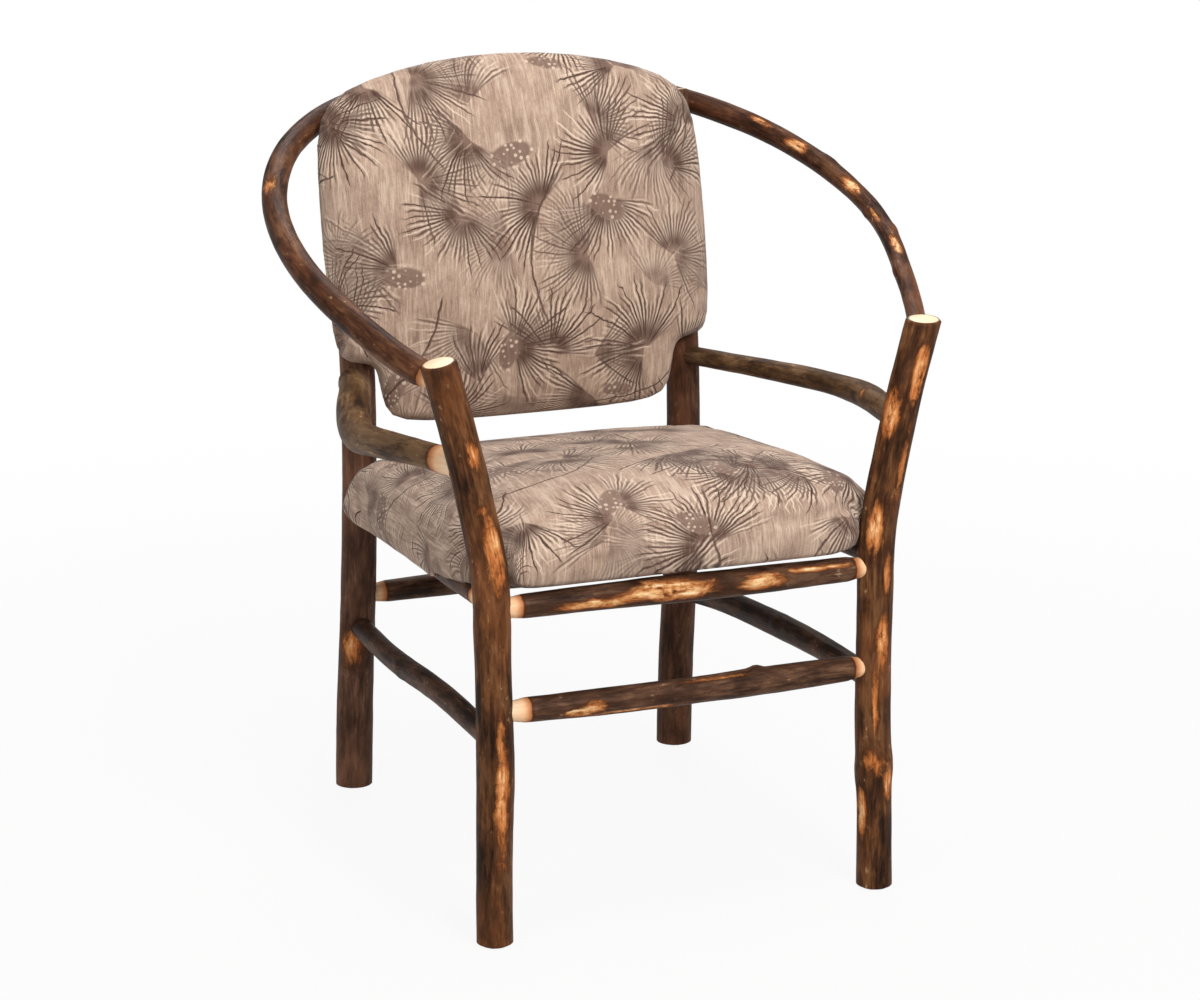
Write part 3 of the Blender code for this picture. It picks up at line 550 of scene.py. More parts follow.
# Poles
AROUND = 44
BARK_DEPTH = 0.0007
RIDGE = 0.00022
TRIM = 0.004
CHAMFER = (0.004, 0.0020)
CHAMFER_REACH = 0.012
CUT_RUN = 0.008
ARM_CUT_RUN = 0.013
SAW_REACH = 0.030
FULL_REACH = 0.030
LEAST_GIRTH = 0.001
SCAR_RISE = 0.0015
POLE_SHARP = 48.0
UNSHAVED = (0.0, 0.0)


def wrapped(angle):
    return (angle + math.pi) % math.tau - math.pi


def chamfered(spots, radii, marks):
    """Adds a ring near each end and draws the end's own ring in."""
    for end, beside, at, size in ((0, 1, 1, CHAMFER[0]), (-1, -2, -1, CHAMFER[1])):
        gap = marks[beside] - marks[end]
        spot = spots[end] + (spots[beside] - spots[end]) * size / abs(gap)
        spots = np.insert(spots, at, spot, 0)
        radii = np.insert(radii, at, radii[end])
        marks = np.insert(marks, at, marks[end] + math.copysign(size, gap))
        radii[end] -= size
    return spots, radii, marks


def log(node, line, paint, seed, patches=(), knots=(), bare=UNSHAVED, post=False, girth=0.022,
        saw=(None, None), full=(False, False), run=CUT_RUN):
    """Bark-on pole along a line, with lumps, ridges, knots and peeled patches.

    Patches are (share along, place across as seen, length, width, strength), knots (share, place, radius, rise).
    Saw gives the slope of an end face's axis, full keeps the bark's girth to an end, a post has chamfered ends.
    """
    spots, radii, marks = line
    trim = 0.0 if post else TRIM
    keep = (marks >= trim) & (marks <= marks[-1] - trim)
    spots, radii, marks = spots[keep], radii[keep], marks[keep]
    body = np.median(radii)
    if post:
        inner = (marks > marks[0] + CHAMFER_REACH) & (marks < marks[-1] - CHAMFER_REACH)
        radii = np.interp(marks, marks[inner], radii[inner])
    for k, near in enumerate((marks - marks[0], marks[-1] - marks)):
        if full[k]:
            way = 1 - 2 * k
            least = np.interp(FULL_REACH, near[::way], radii[::way])
            radii = np.where(near < FULL_REACH, np.maximum(radii, least), radii)
    if post:
        spots, radii, marks = chamfered(spots, radii, marks)
    count = len(spots)
    tangents = unit(np.gradient(spots, marks, axis=0))
    face = unit(TO_EYE - (tangents @ TO_EYE)[:, None] * tangents)
    side = np.cross(tangents, face)
    turn = np.linspace(0.0, math.tau, AROUND, endpoint=False)
    cos, sin = np.cos(turn)[None, :], np.sin(turn)[None, :]
    along = marks[:, None] + 0.0 * cos
    grain = np.stack((body * cos + 0.0 * along, body * sin + 0.0 * along, along), -1)

    def around_spot(share, place):
        """Distances along and round the pole from a spot."""
        off = wrapped(turn - math.asin(place))[None, :] * body
        return along - (marks[0] + (marks[-1] - marks[0]) * share), off

    cut = np.full(along.shape, -1.0)
    if bare[0]:
        cut = np.maximum(cut, (marks[0] + bare[0] - along) / run)
    if bare[1]:
        cut = np.maximum(cut, (along - marks[-1] + bare[1]) / run)
    cut = np.clip(cut, -1.0, 3.0)
    barky = 1.0 - smoothstep(-0.4, 0.4, cut)
    lumps = noise3(grain * (26.0, 26.0, 11.0), seed) + 0.5 * noise3(grain * (60.0, 60.0, 24.0), seed + 3)
    ridges = noise3(grain * (420.0, 420.0, 30.0), seed + 5) + 0.8 * noise3(grain * (800.0, 800.0, 60.0), seed + 6)
    relief = body * girth * lumps * barky + RIDGE * barky * ridges
    field = np.full(along.shape, -1.0)
    wobble = noise3(grain * (110.0, 110.0, 40.0), seed + 9)
    for share, place, length, width, strength in patches:
        ahead, off = around_spot(share, place)
        q = np.sqrt((ahead / (length / 2.0)) ** 2 + (off / (width / 2.0)) ** 2)
        field = np.maximum(field, np.clip((1.0 - q) * strength, -1.0, 2.0))
    relief -= BARK_DEPTH * smoothstep(-0.10, 0.12, field + 0.25 * wobble) * barky
    for share, place, size, rise in knots:
        ahead, off = around_spot(share, place)
        q = np.sqrt(ahead ** 2 + off ** 2) / size
        relief += rise * (np.exp(-q * q * 1.6) - 0.35 * np.exp(-q * q * 14.0))
        if rise < SCAR_RISE:
            field = np.maximum(field, 0.35 - q * 1.1)
    girths = np.maximum(radii[:, None] + relief, LEAST_GIRTH)[..., None]
    verts = spots[:, None, :] + girths * (cos[..., None] * face[:, None, :] + sin[..., None] * side[:, None, :])
    for k, slope in enumerate(saw):
        if slope is None:
            continue
        axis = np.array((*slope, 1.0))
        near = 1.0 - smoothstep(0.0, SAW_REACH, np.abs(marks - marks[-k]))
        slide = -((verts - spots[:, None, :]) @ axis) / (tangents @ axis)[:, None] * near[:, None]
        verts = verts + slide[..., None] * tangents[:, None, :]
    verts = np.concatenate((verts.reshape(-1, 3), spots[:1], spots[-1:]))
    verts[:, 2] = np.maximum(verts[:, 2], 0.0)
    hub = count * AROUND
    faces = faces_of(count, AROUND)
    walls = len(faces)
    faces += cap_of(hub, 0, AROUND, -1) + cap_of(hub + 1, hub - AROUND, AROUND, 1)
    mesh = bpy.data.meshes.new(node + ".bark")
    mesh.from_pydata(verts.tolist(), [], faces)
    smooth_shaded(mesh, POLE_SHARP, paint, SAWN)
    mesh.polygons.foreach_set("material_index", (np.arange(len(faces)) >= walls).astype(np.int32))
    ends = np.array(((0.0, 0.0, marks[0]), (0.0, 0.0, marks[-1])))
    put_attribute(mesh, "grain", np.concatenate((grain.reshape(-1, 3), ends)) + (0.0, 0.0, seed * 1.7))
    for name, values, at_hub in (("peel", field, -1.0), ("bare", cut, 1.0), ("rim", np.ones(hub), 0.0)):
        put_attribute(mesh, name, np.concatenate((values.ravel(), (at_hub, at_hub))))
    placed(mesh, node)


make_camera()
make_floor()
make_light()
SAWN = end_grain()
BARKS = {
    name: bark(name, linears(*tones), linear(*speck), peeled, gloss, pale_from)
    for name, tones, speck, peeled, gloss, pale_from in (
        ("front_post_bark", ((35, 20, 12), (74, 45, 26), (104, 66, 39), (142, 99, 65), (118, 66, 34)),
         (188, 152, 112), PEEL_ORANGE, 0.40, 0.42),
        ("rear_post_bark", ((50, 31, 21), (76, 49, 34), (98, 66, 48), (122, 88, 67), (106, 62, 41)),
         (150, 120, 94), PEEL, 0.44, 0.15),
        # Lighter copy of the rear posts' bark for the left rear post: painted light, as if this post stood out of
        # the seat's shade; its orange peel colours are its own
        ("rear_left_post_painted_lit_bark", ((60, 40, 30), (90, 61, 46), (114, 80, 62), (140, 104, 84), (116, 74, 52)),
         (160, 130, 106), PEEL_ORANGE, 0.44, 0.42),
        ("hoop_bark", ((34, 19, 12), (70, 42, 28), (96, 61, 41), (136, 95, 67), (96, 53, 32)),
         (196, 160, 122), PEEL, 0.36, 0.15),
        ("arm_bark", ((44, 29, 18), (82, 58, 38), (110, 82, 56), (148, 116, 84), (94, 66, 42)),
         (204, 174, 134), PEEL, 0.42, 0.15),
        ("rung_bark", ((34, 21, 15), (66, 44, 32), (94, 66, 49), (132, 98, 74), (86, 54, 38)),
         (188, 154, 120), PEEL, 0.36, 0.15),
    )
}

LEVEL = (0.0, 0.0)
POST_REACH = 0.12
POSTS = {
    "front_post_left": (
        "front_post_bark", 11,
        [(0.842, 0.57, 0.030, 0.011, 0.7), (0.672, 0.52, 0.062, 0.019, 1.0), (0.697, 0.62, 0.030, 0.013, 2.0),
         (0.302, 0.45, 0.026, 0.013, 2.0), (0.250, 0.42, 0.115, 0.014, 1.0), (0.350, 0.35, 0.060, 0.008, 0.7)],
        [(0.752, 0.30, 0.008, 0.0012)], (-0.23, -0.05)),
    "front_post_right": (
        "front_post_bark", 23,
        [(0.914, 0.50, 0.062, 0.017, 1.5), (0.833, -0.60, 0.052, 0.022, 1.5), (0.643, -0.20, 0.056, 0.017, 1.5),
         (0.447, 0.45, 0.058, 0.015, 1.5), (0.335, 0.05, 0.075, 0.006, 0.8), (0.140, -0.82, 0.060, 0.016, 1.8),
         (0.190, 0.78, 0.042, 0.015, 1.2), (0.760, 0.70, 0.060, 0.008, 0.8), (0.560, 0.60, 0.040, 0.007, 0.7)],
        [(0.232, -0.1, 0.020, 0.0014), (0.222, 0.95, 0.022, 0.0022), (0.205, -0.95, 0.020, 0.0016)], (0.02, -0.10)),
    # The left rear post wears the lighter copy of the rear bark: painted light, not a different wood
    "rear_post_left": (
        "rear_left_post_painted_lit_bark", 37, [(0.231, -0.30, 0.042, 0.022, 1.0)], [(0.231, -0.30, 0.016, 0.0014)], None),
    "rear_post_right": ("rear_post_bark", 41, [], [], None),
}
for node, (paint, seed, patches, knots, top_slope) in POSTS.items():
    log(node, pole_line(node, *upright(node), POST_REACH), BARKS[paint], seed,
        patches, knots, post=True, saw=(LEVEL, top_slope))

HOOP_CENTRE = (0.0, -0.040)
HOOP_SWEEP = 2.25
HOOP_REACH = 0.06
HOOP_TAPER = ((0.0, 0.5, 0.8, 1.0), (1.0, 1.0, 0.86, 0.86))
spots, radii, marks = pole_line("hoop", *round_about("hoop", HOOP_CENTRE, HOOP_SWEEP), HOOP_REACH)
log("hoop", (spots, radii * np.interp(marks / marks[-1], *HOOP_TAPER), marks), BARKS["hoop_bark"], 53,
    [(0.708, -0.55, 0.034, 0.008, 0.7), (0.744, -0.10, 0.034, 0.015, 1.3), (0.807, -0.05, 0.042, 0.016, 1.5),
     (0.888, -0.15, 0.040, 0.014, 1.2), (0.240, -0.20, 0.026, 0.012, 0.6), (0.848, 0.30, 0.026, 0.007, 0.6)],
    [(0.835, 0.9, 0.010, 0.0018), (0.770, -0.9, 0.014, 0.0016), (0.865, -0.8, 0.012, 0.0016),
     (0.915, 0.9, 0.012, 0.0016)], bare=(0.014, 0.0), girth=0.034, full=(False, True))

LYING_REACH = 0.5
BARKED = (True, True)
SHAVED = (False, False)
ARMS = {
    "arm_left": (61, [(0.20, 0.45, 0.012, 0.0016), (0.34, -0.80, 0.018, 0.0030), (0.30, 0.10, 0.010, 0.0012)],
                 (0.0, 0.038), (True, False)),
    "arm_right": (67, [(0.905, -0.85, 0.010, 0.0046), (0.80, 0.10, 0.012, 0.0012)], UNSHAVED, BARKED),
}
for node, (seed, knots, bare, full) in ARMS.items():
    log(node, pole_line(node, *lengthwise(node, 1, -1), LYING_REACH), BARKS["arm_bark"], seed, (), knots,
        bare, girth=0.038, full=full, run=ARM_CUT_RUN)

BARE = (0.0155, 0.0125)
RUNGS = {
    "front_seat_rail": (71, 0, [(0.230, 0.50, 0.080, 0.011, 1.4), (0.436, -0.05, 0.100, 0.022, 1.4),
                                (0.705, 0.10, 0.052, 0.017, 1.6), (0.870, -0.40, 0.080, 0.006, 0.8),
                                (0.340, 0.20, 0.060, 0.010, 0.8)], [(0.675, 0.10, 0.008, 0.0012)], BARE, SHAVED),
    "front_stretcher": (73, 0, [(0.183, 0.65, 0.028, 0.011, 1.8), (0.220, 0.30, 0.024, 0.011, 1.0),
                                (0.340, 0.85, 0.085, 0.006, 1.0), (0.560, -0.70, 0.050, 0.005, 0.7)],
                        [(0.690, -0.95, 0.009, 0.0040)], (0.022, 0.0125), SHAVED),
    "rear_seat_rail": (79, 0, [], [], BARE, SHAVED),
    "rear_stretcher": (83, 0, [], [], BARE, SHAVED),
    "left_seat_rail": (89, 1, [], [], BARE, SHAVED),
    "right_seat_rail": (97, 1, [], [], BARE, SHAVED),
    "left_stretcher": (101, 1, [], [(0.60, -0.60, 0.012, 0.0016)], UNSHAVED, BARKED),
    "right_stretcher": (103, 1, [], [(0.45, 0.50, 0.012, 0.0016)], UNSHAVED, BARKED),
}
RUNG_LINES = {}
for node, (seed, axis, patches, knots, bare, full) in RUNGS.items():
    RUNG_LINES[node] = pole_line(node, *lengthwise(node, axis), LYING_REACH)
    log(node, RUNG_LINES[node], BARKS["rung_bark"], seed, patches, knots, bare, full=full)

# Cushions
COARSE = 0.0058
FINE = 0.0033
SKIN = 0.009
WELD = 0.00002
SIM_FRAMES = 20
PIN_LEVELS = (0.35, 0.7, 1.0)
PIN_STEP = 0.35
SWELL_CAP = 0.0045
RAIL_SECTION = ((-0.0125, -0.0060), (0.0128, -0.0060), (0.0128, 0.0150), (-0.0125, 0.0150))
CLOTH = {"quality": 6, "mass": 0.25, "tension_stiffness": 18.0, "compression_stiffness": 12.0,
         "shear_stiffness": 6.0, "bending_stiffness": 0.6, "use_pressure": True, "uniform_pressure_force": 3.0,
         "vertex_group_mass": "held"}


def applied(obj):
    """Replaces an object's mesh by what its modifiers make of it."""
    graph = bpy.context.evaluated_depsgraph_get()
    mesh = bpy.data.meshes.new_from_object(obj.evaluated_get(graph))
    old = obj.data
    obj.modifiers.clear()
    obj.data = mesh
    bpy.data.meshes.remove(old)


def welded(node):
    work = bmesh.new()
    work.from_mesh(NODES[node].data)
    bmesh.ops.remove_doubles(work, verts=work.verts, dist=WELD)
    return work


def joined(name, parts, filler):
    """The cover's outside as a thick skin, with what fills it, in one mesh of overlapping bodies."""
    low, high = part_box(parts[0])
    work = welded(parts[0])
    inner = [f for f in work.faces if f.normal.dot(f.calc_center_median() - (low + high) / 2.0) < 0.0]
    bmesh.ops.delete(work, geom=inner, context="FACES")
    obj = linked(name, bpy.data.meshes.new(name))
    work.to_mesh(obj.data)
    work.free()
    thick = obj.modifiers.new("thick", "SOLIDIFY")
    thick.thickness = SKIN
    thick.offset = -1.0
    applied(obj)
    work = bmesh.new()
    work.from_mesh(obj.data)
    for part in parts[1:]:
        work.from_mesh(NODES[part].data)
    for run in filler:
        rows = [[work.verts.new((spot[0] + x, spot[1], spot[2] + z)) for x, z in RAIL_SECTION] for spot in run]
        faces = [work.faces.new((rows[0][j], rows[0][(j + 1) % 4], rows[1][(j + 1) % 4], rows[1][j]))
                 for j in range(4)]
        faces += [work.faces.new(rows[0][::-1]), work.faces.new(rows[1])]
        bmesh.ops.recalc_face_normals(work, faces=faces)
    work.to_mesh(obj.data)
    work.free()
    return obj


def evened(mesh, values, times, shares, weight=1.0):
    """Moves each point's values by shares of their difference from its neighbours' mean."""
    edges = edges_of(mesh)
    ends = np.concatenate((edges[:, 0], edges[:, 1]))
    others = np.concatenate((edges[:, 1], edges[:, 0]))
    degree = np.bincount(ends, minlength=len(values))[:, None]
    for turn in range(times):
        for share in shares:
            total = np.stack([np.bincount(ends, values[others, k], len(values)) for k in range(3)], 1)
            values = values + share * weight * (total / degree - values)
    return values


def relaxed(mesh, times, weight=1.0):
    """Evens out the steps of the remesh and keeps the volume."""
    points = evened(mesh, coords(mesh), times, (0.5, -0.565), weight)
    put_coords(mesh, points)
    return points


def skinned(name, parts, voxel, filler):
    """One closed skin round the parts."""
    obj = joined(name, parts, filler)
    skin = obj.modifiers.new("skin", "REMESH")
    skin.mode = "VOXEL"
    skin.voxel_size = voxel
    applied(obj)
    return obj


def blown(name, parts, pins, swell, filler):
    """Points of a coarse skin and where a cloth simulation under pressure moves them."""
    obj = skinned(name, parts, COARSE, filler)
    start = relaxed(obj.data, 6)
    group = obj.vertex_groups.new(name="held")
    weights = pins(start)
    for level in PIN_LEVELS:
        chosen = np.nonzero((weights > level - PIN_STEP) & (weights <= level))[0]
        group.add(chosen.tolist(), level, "REPLACE")
    cloth = obj.modifiers.new("cloth", "CLOTH")
    for field, value in CLOTH.items():
        setattr(cloth.settings, field, value)
    cloth.settings.effector_weights.gravity = 0.0
    cloth.collision_settings.use_collision = False
    for step in range(1, SIM_FRAMES + 1):
        scene.frame_set(step)
        bpy.context.evaluated_depsgraph_get()
    applied(obj)
    scene.frame_set(1)
    shift = coords(obj.data) - start
    far = np.linalg.norm(shift, axis=1)[:, None]
    mesh = obj.data
    bpy.data.objects.remove(obj)
    bpy.data.meshes.remove(mesh)
    return start, shift * np.minimum(1.0, SWELL_CAP / np.maximum(far, 1e-9)) * swell


def padded_form(name, parts, pins, swell, filler=()):
    """Closed cushion on the skin of its cover, foam and board, swollen as a cloth simulation swells it."""
    obj = skinned(name, parts, FINE, filler)
    points = relaxed(obj.data, 2)
    points = relaxed(obj.data, 26, (1.0 - pins(points))[:, None])
    start, shift = blown(name + "_coarse", parts, pins, swell, filler)
    tree = KDTree(len(start))
    for k, spot in enumerate(start):
        tree.insert(spot, k)
    tree.balance()
    moved = np.zeros_like(points)
    for k, spot in enumerate(points):
        near = tree.find_n(spot, 4)
        shares = np.array([1.0 / (away + 0.001) for place, index, away in near])
        moved[k] = shares @ shift[[index for place, index, away in near]] / shares.sum()
    put_coords(obj.data, points + moved)
    points = relaxed(obj.data, 4, (1.0 - pins(points))[:, None])
    low, high = (np.array(corner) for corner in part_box(parts[0]))
    least, most = points.min(0), points.max(0)
    put_coords(obj.data, low + (points - least) * (high - low) / (most - least))
    obj.data.polygons.foreach_set("use_smooth", np.ones(len(obj.data.polygons), bool))
    obj.data.materials.clear()
    obj.data.materials.append(PRINTED)
    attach(obj, "root")
    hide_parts(*parts[:2])
    return obj


def unrolled(points, normals, up, fold, shift=(0.0, 0.0)):
    """Cloth coordinates of a cushion: its face as it lies, its sides folded out."""
    side, end = normals[:, 0], normals @ up
    share = smoothstep(0.25, 0.75, np.abs(side) / np.maximum(np.abs(side) + np.abs(end), 1e-6))
    u = points[:, 0] + np.sign(side) * fold * share
    v = points @ up + np.sign(end) * fold * (1.0 - share)
    return np.stack((u + shift[0], v + shift[1], 0.0 * u), 1)


FOLD_FADE = 0.02


def crease(points, normals, run, depth, width):
    """Pushes the surface in along a run of points, by a depth that fades at its ends."""
    run = np.array(run, float)
    best = np.full(len(points), 1e9)
    place = np.zeros(len(points))
    marks = run_marks(run)
    for k in range(len(run) - 1):
        leg = run[k + 1] - run[k]
        t = np.clip(((points - run[k]) @ leg) / (leg @ leg), 0.0, 1.0)
        away = np.linalg.norm(points - (run[k] + t[:, None] * leg), axis=1)
        nearer = away < best
        best = np.where(nearer, away, best)
        place = np.where(nearer, marks[k] + t * (marks[k + 1] - marks[k]), place)
    ends = smoothstep(0.0, FOLD_FADE, place) * smoothstep(0.0, FOLD_FADE, marks[-1] - place)
    return points - normals * (depth * ends * np.exp(-(best / width) ** 2))[:, None]


def folded(obj, folds):
    """Works the pull folds and seams of the cover into a cushion."""
    points, normals = coords(obj.data), normals_of(obj.data)
    for depth, width, *run in folds:
        points = crease(points, normals, run, depth, width)
    put_coords(obj.data, points)


# Folds are (depth, width, points of the run)
SEAT_FOLDS = [
    (0.0055, 0.0050, (-0.2320, 0.1060, 0.4100), (-0.2365, 0.0933, 0.3869), (-0.2385, 0.0735, 0.3737),
     (-0.2370, 0.0553, 0.3600)),
    (0.0036, 0.0050, (0.1990, -0.2700, 0.4300), (0.1676, -0.2986, 0.4224), (0.1467, -0.3044, 0.4164),
     (0.1291, -0.3082, 0.4075)),
    (0.0034, 0.0046, (0.1990, -0.2720, 0.4260), (0.1722, -0.2988, 0.4156), (0.1565, -0.3056, 0.4040),
     (0.1470, -0.3090, 0.3960)),
    (0.0030, 0.0046, (0.2000, -0.2730, 0.4220), (0.1879, -0.2880, 0.4071), (0.1799, -0.2978, 0.3954),
     (0.1740, -0.3010, 0.3840)),
    (0.0028, 0.0055, (0.1980, -0.2690, 0.4340), (0.1578, -0.2901, 0.4352), (0.1313, -0.2932, 0.4375),
     (0.1100, -0.2930, 0.4380)),
    (0.0028, 0.0055, (-0.2120, -0.2350, 0.4340), (-0.2174, -0.2041, 0.4250), (-0.2285, -0.1800, 0.4080),
     (-0.2324, -0.1600, 0.3850)),
    (0.0030, 0.0050, (-0.2060, -0.2650, 0.4280), (-0.1850, -0.2905, 0.4160), (-0.1723, -0.2980, 0.4040),
     (-0.1600, -0.3040, 0.3900)),
    (0.0028, 0.0046, (-0.2080, -0.2660, 0.4200), (-0.1950, -0.2820, 0.4060), (-0.1880, -0.2920, 0.3900)),
]
BACK_FOLDS = [
    (0.0030, 0.0045, (-0.2304, 0.1476, 0.5900), (-0.2304, 0.1476, 0.5664), (-0.2302, 0.1496, 0.5470),
     (-0.2290, 0.1510, 0.5330)),
]

# Printed cloth
PRINT_CORE = linear(106, 79, 68)
PRINT_PALE = linear(224, 202, 181)
PRINT_DARK = linear(78, 54, 45)
GROUND = linears((132, 106, 91), (175, 148, 129), (206, 181, 160))
STROKES = ((0.00120, 0.0, 0.04), (0.00110, 0.5, 0.22))
TUFT_LAYERS = [
    (0.166, -1.90, (0.05, 0.45), 21, 48.0, 0.080),
    (0.196, 0.35, (0.10, 0.25), 2, 60.0, 0.094),
    (0.184, -0.55, (0.55, 0.05), 4, 54.0, 0.088),
    (0.210, 1.10, (0.30, 0.60), 7, 66.0, 0.101),
    (0.190, 2.20, (0.75, 0.40), 8, 58.0, 0.091),
    (0.204, -1.40, (0.20, 0.85), 6, 62.0, 0.098),
    (0.178, 2.80, (0.60, 0.15), 3, 52.0, 0.085),
    (0.188, -2.35, (0.40, 0.95), 12, 56.0, 0.090),
]
SEED_HEADS = (0.135, 0.5, (0.2, 0.7), 5)
TWIGS = (0.21, 0.9, (0.1, 0.4), 9)


def cell_random(n, cell, seed):
    """Three random numbers of a grid's cell."""
    node = n.new("TexWhiteNoise", noise_dimensions="3D")
    n.put(node.inputs["Vector"], n.vec("ADD", cell, (seed * 1.37, seed * 2.11, seed * 0.73)))
    return n.split(node.outputs["Color"])


def grid(n, place, size, turn, shift, jitter, seed):
    """Place within a turned grid's cell about a scattered centre, the cell's random numbers and the cell."""
    flat = n.vec("ADD", n.scaled(n.turned(place, turn), 1.0 / size), (*shift, 0.0))
    cell = n.vec("FLOOR", flat)
    random = cell_random(n, cell, seed)
    local = n.vec("SUBTRACT", n.vec("SUBTRACT", flat, cell), (0.5, 0.5, 0.0))
    off = n.join(n.sub(random[0], 0.5), n.sub(random[1], 0.5), 0.0)
    return n.scaled(n.vec("SUBTRACT", local, n.scaled(off, jitter * 2.0)), size), random, cell


def tufts(n, place, sway, fray, size, turn, shift, seed, blades, radius):
    """A scattered layer of fans of slender blades: soft hearts, pale strokes, dark strokes."""
    local, random, cell = grid(n, place, size, turn, shift, 0.5 - radius / size, seed)
    x, y = n.split(local)[:2]
    away = n.vec("LENGTH", n.scaled(local, LEVEL_ONLY))
    angle = n.sub(n.math("ARCTAN2", y, x), n.mul(random[2], math.tau))
    more = cell_random(n, cell, seed + 31)
    droop = n.mad(n.sub(more[2], 0.5), 9.0, n.mad(sway, 3.0, -1.5))
    angle = n.add(angle, n.mul(droop, away))
    angle = n.add(angle, n.mad(fray, 0.07, -0.035))
    angle = n.math("WRAP", angle, math.pi, -math.pi)
    spread = n.mad(more[0], 1.6, 0.75)
    inside = n.fall(n.size(angle), n.mul(spread, 0.86), spread)
    share = n.div(away, n.mad(more[1], radius * 0.20, radius * 0.80))
    strokes = []
    for part, (thick, offset, root) in enumerate(STROKES):
        k = n.add(n.mul(angle, blades / math.tau), offset)
        index = n.math("FLOOR", k)
        split = n.size(n.sub(n.sub(k, index), 0.5))
        white = n.new("TexWhiteNoise", noise_dimensions="4D")
        n.named(white, Vector=cell, W=n.add(index, seed * 3.7 + part * 11.3))
        chance = white.outputs["Value"]
        across = n.mul(n.mul(split, away), math.tau / blades)
        width = n.mul(n.mad(share, -0.75, 1.25), n.mul(n.mad(fray, 0.9, 0.55), thick))
        line = n.fall(across, n.mul(width, 0.55), n.mul(width, 1.6))
        tip = n.mad(chance, 0.55, 0.45)
        ends = n.fall(share, n.mul(tip, 0.85), tip)
        fade = n.step(share, root, root + 0.15)
        mask = n.mul(n.mul(line, ends), n.mul(inside, fade))
        strokes.append(n.mul(mask, n.mad(chance, 0.5, 0.55)))
    edge = n.mad(fray, 0.5, n.mad(sway, 0.4, share))
    heart = n.mul(n.fall(edge, 0.50, 1.00), inside)
    strength = n.step(more[1], 0.10, 0.60, 0.45, 1.0)
    return [n.mul(mask, strength) for mask in (heart, strokes[1], strokes[0])]


def seed_heads(n, place, size, turn, shift, seed):
    """A scattered layer of small seed heads: dark bodies set with pale grains."""
    local, random, cell = grid(n, place, size, turn, shift, 0.26, seed)
    spun = n.turned(local, n.mul(random[2], math.tau))
    more = cell_random(n, cell, seed + 17)
    length = n.mad(more[0], 0.012, 0.022)
    x, y = n.split(spun)[:2]
    away = n.vec("LENGTH", n.join(n.div(x, length), n.div(y, n.mul(length, 0.5)), 0.0))
    shown = n.step(more[1], 0.30, 0.34)
    body = n.mul(n.fall(away, 0.75, 1.0), shown)
    grains = n.fall(n.dots(spun, 150.0, 0.6), 0.24, 0.40)
    return body, n.mul(grains, n.mul(n.fall(away, 1.0, 1.12), shown))


def twigs(n, place, size, turn, shift, seed):
    """A scattered layer of bent twigs."""
    local, random, cell = grid(n, place, size, turn, shift, 0.05, seed)
    x, y = n.split(n.turned(local, n.mul(random[2], math.tau)))[:2]
    share = n.div(x, size * 0.40)
    curve = n.mul(n.math("COSINE", n.mul(share, 1.7)), size * 0.11)
    wobble = n.noise(place, 60.0, 2.0)
    away = n.size(n.sub(n.mad(wobble, 0.006, y), curve))
    return n.mul(n.fall(away, 0.0008, 0.0019), n.fall(n.size(share), 0.9, 1.0))


def foliage(n, place):
    """The whole print as three masks: layers of tufts, seed heads and twigs."""
    sway = n.noise(place, 26.0, 2.0)
    fray = n.noise(place, 95.0, 2.0)
    masks = None
    for layer in TUFT_LAYERS:
        new = tufts(n, place, sway, fray, *layer)
        masks = [n.most(*pair) for pair in zip(masks, new)] if masks else new
    core, pale, dark = masks
    body, dots = seed_heads(n, place, *SEED_HEADS)
    clear = n.mad(body, -0.8, 1.0)
    core = n.most(core, body)
    dark = n.most(n.mul(dark, clear), n.mul(twigs(n, place, *TWIGS), 0.9))
    return core, n.most(n.mul(pale, clear), dots), dark


def printed_cloth():
    """Upholstery cloth with slubbed yarns and a printed pattern, in the unrolled coordinates of the cloth."""
    n = Nodes("printed_cloth")
    place = n.attr("cloth", "Vector")
    u, v = n.split(place)[:2]

    def yarns(across, along, lift, detail=3.0):
        return n.noise(n.join(n.mul(u, across), n.mul(v, along), lift), None, detail, 0.6)

    warp_yarn = yarns(1300.0, 150.0, 0.0)
    weft_yarn = yarns(190.0, 1300.0, 3.0)
    slub = yarns(420.0, 34.0, 7.0, 4.0)
    cloudy = n.noise(place, 24.0, 3.0)
    yarn = n.mad(warp_yarn, 0.60, n.mul(weft_yarn, 0.40))
    tone = n.mad(cloudy, 0.30, n.mad(slub, 0.30, n.mul(yarn, 0.40)))
    colour = n.ramp(tone, (0.38, 0.50, 0.62), GROUND)
    bend = n.mul(n.noise(place, 7.0, 1.0), 9.0)
    reed = n.noise(n.join(n.mad(u, 250.0, bend), n.mul(v, 17.0), 11.0), None, 2.0)
    patchy = n.step(n.noise(place, 13.0, 1.0), 0.36, 0.58)
    colour = n.mix(n.mul(n.step(reed, 0.54, 0.66), n.mul(patchy, 0.34)), colour, PRINT_CORE)
    colour = n.mix(n.mul(n.step(reed, 0.46, 0.35), 0.36), colour, PRINT_PALE)
    core, pale, dark = foliage(n, place)
    soft = n.mad(n.add(yarn, slub), 0.75, 0.10)
    for mask, share, ink in ((core, 0.85, PRINT_CORE), (pale, 0.85, PRINT_PALE), (dark, 1.1, PRINT_DARK)):
        colour = n.mix(n.math("MULTIPLY", n.mul(mask, soft), share, clamp=True), colour, ink)
    height = n.mad(slub, 0.6, yarn)
    return n.finish(colour, n.mad(yarn, 0.15, 0.80), n.bump(height, 0.5, 0.0011), Sheen_Weight=0.10,
                    Sheen_Roughness=0.5, Specular_IOR_Level=0.2)


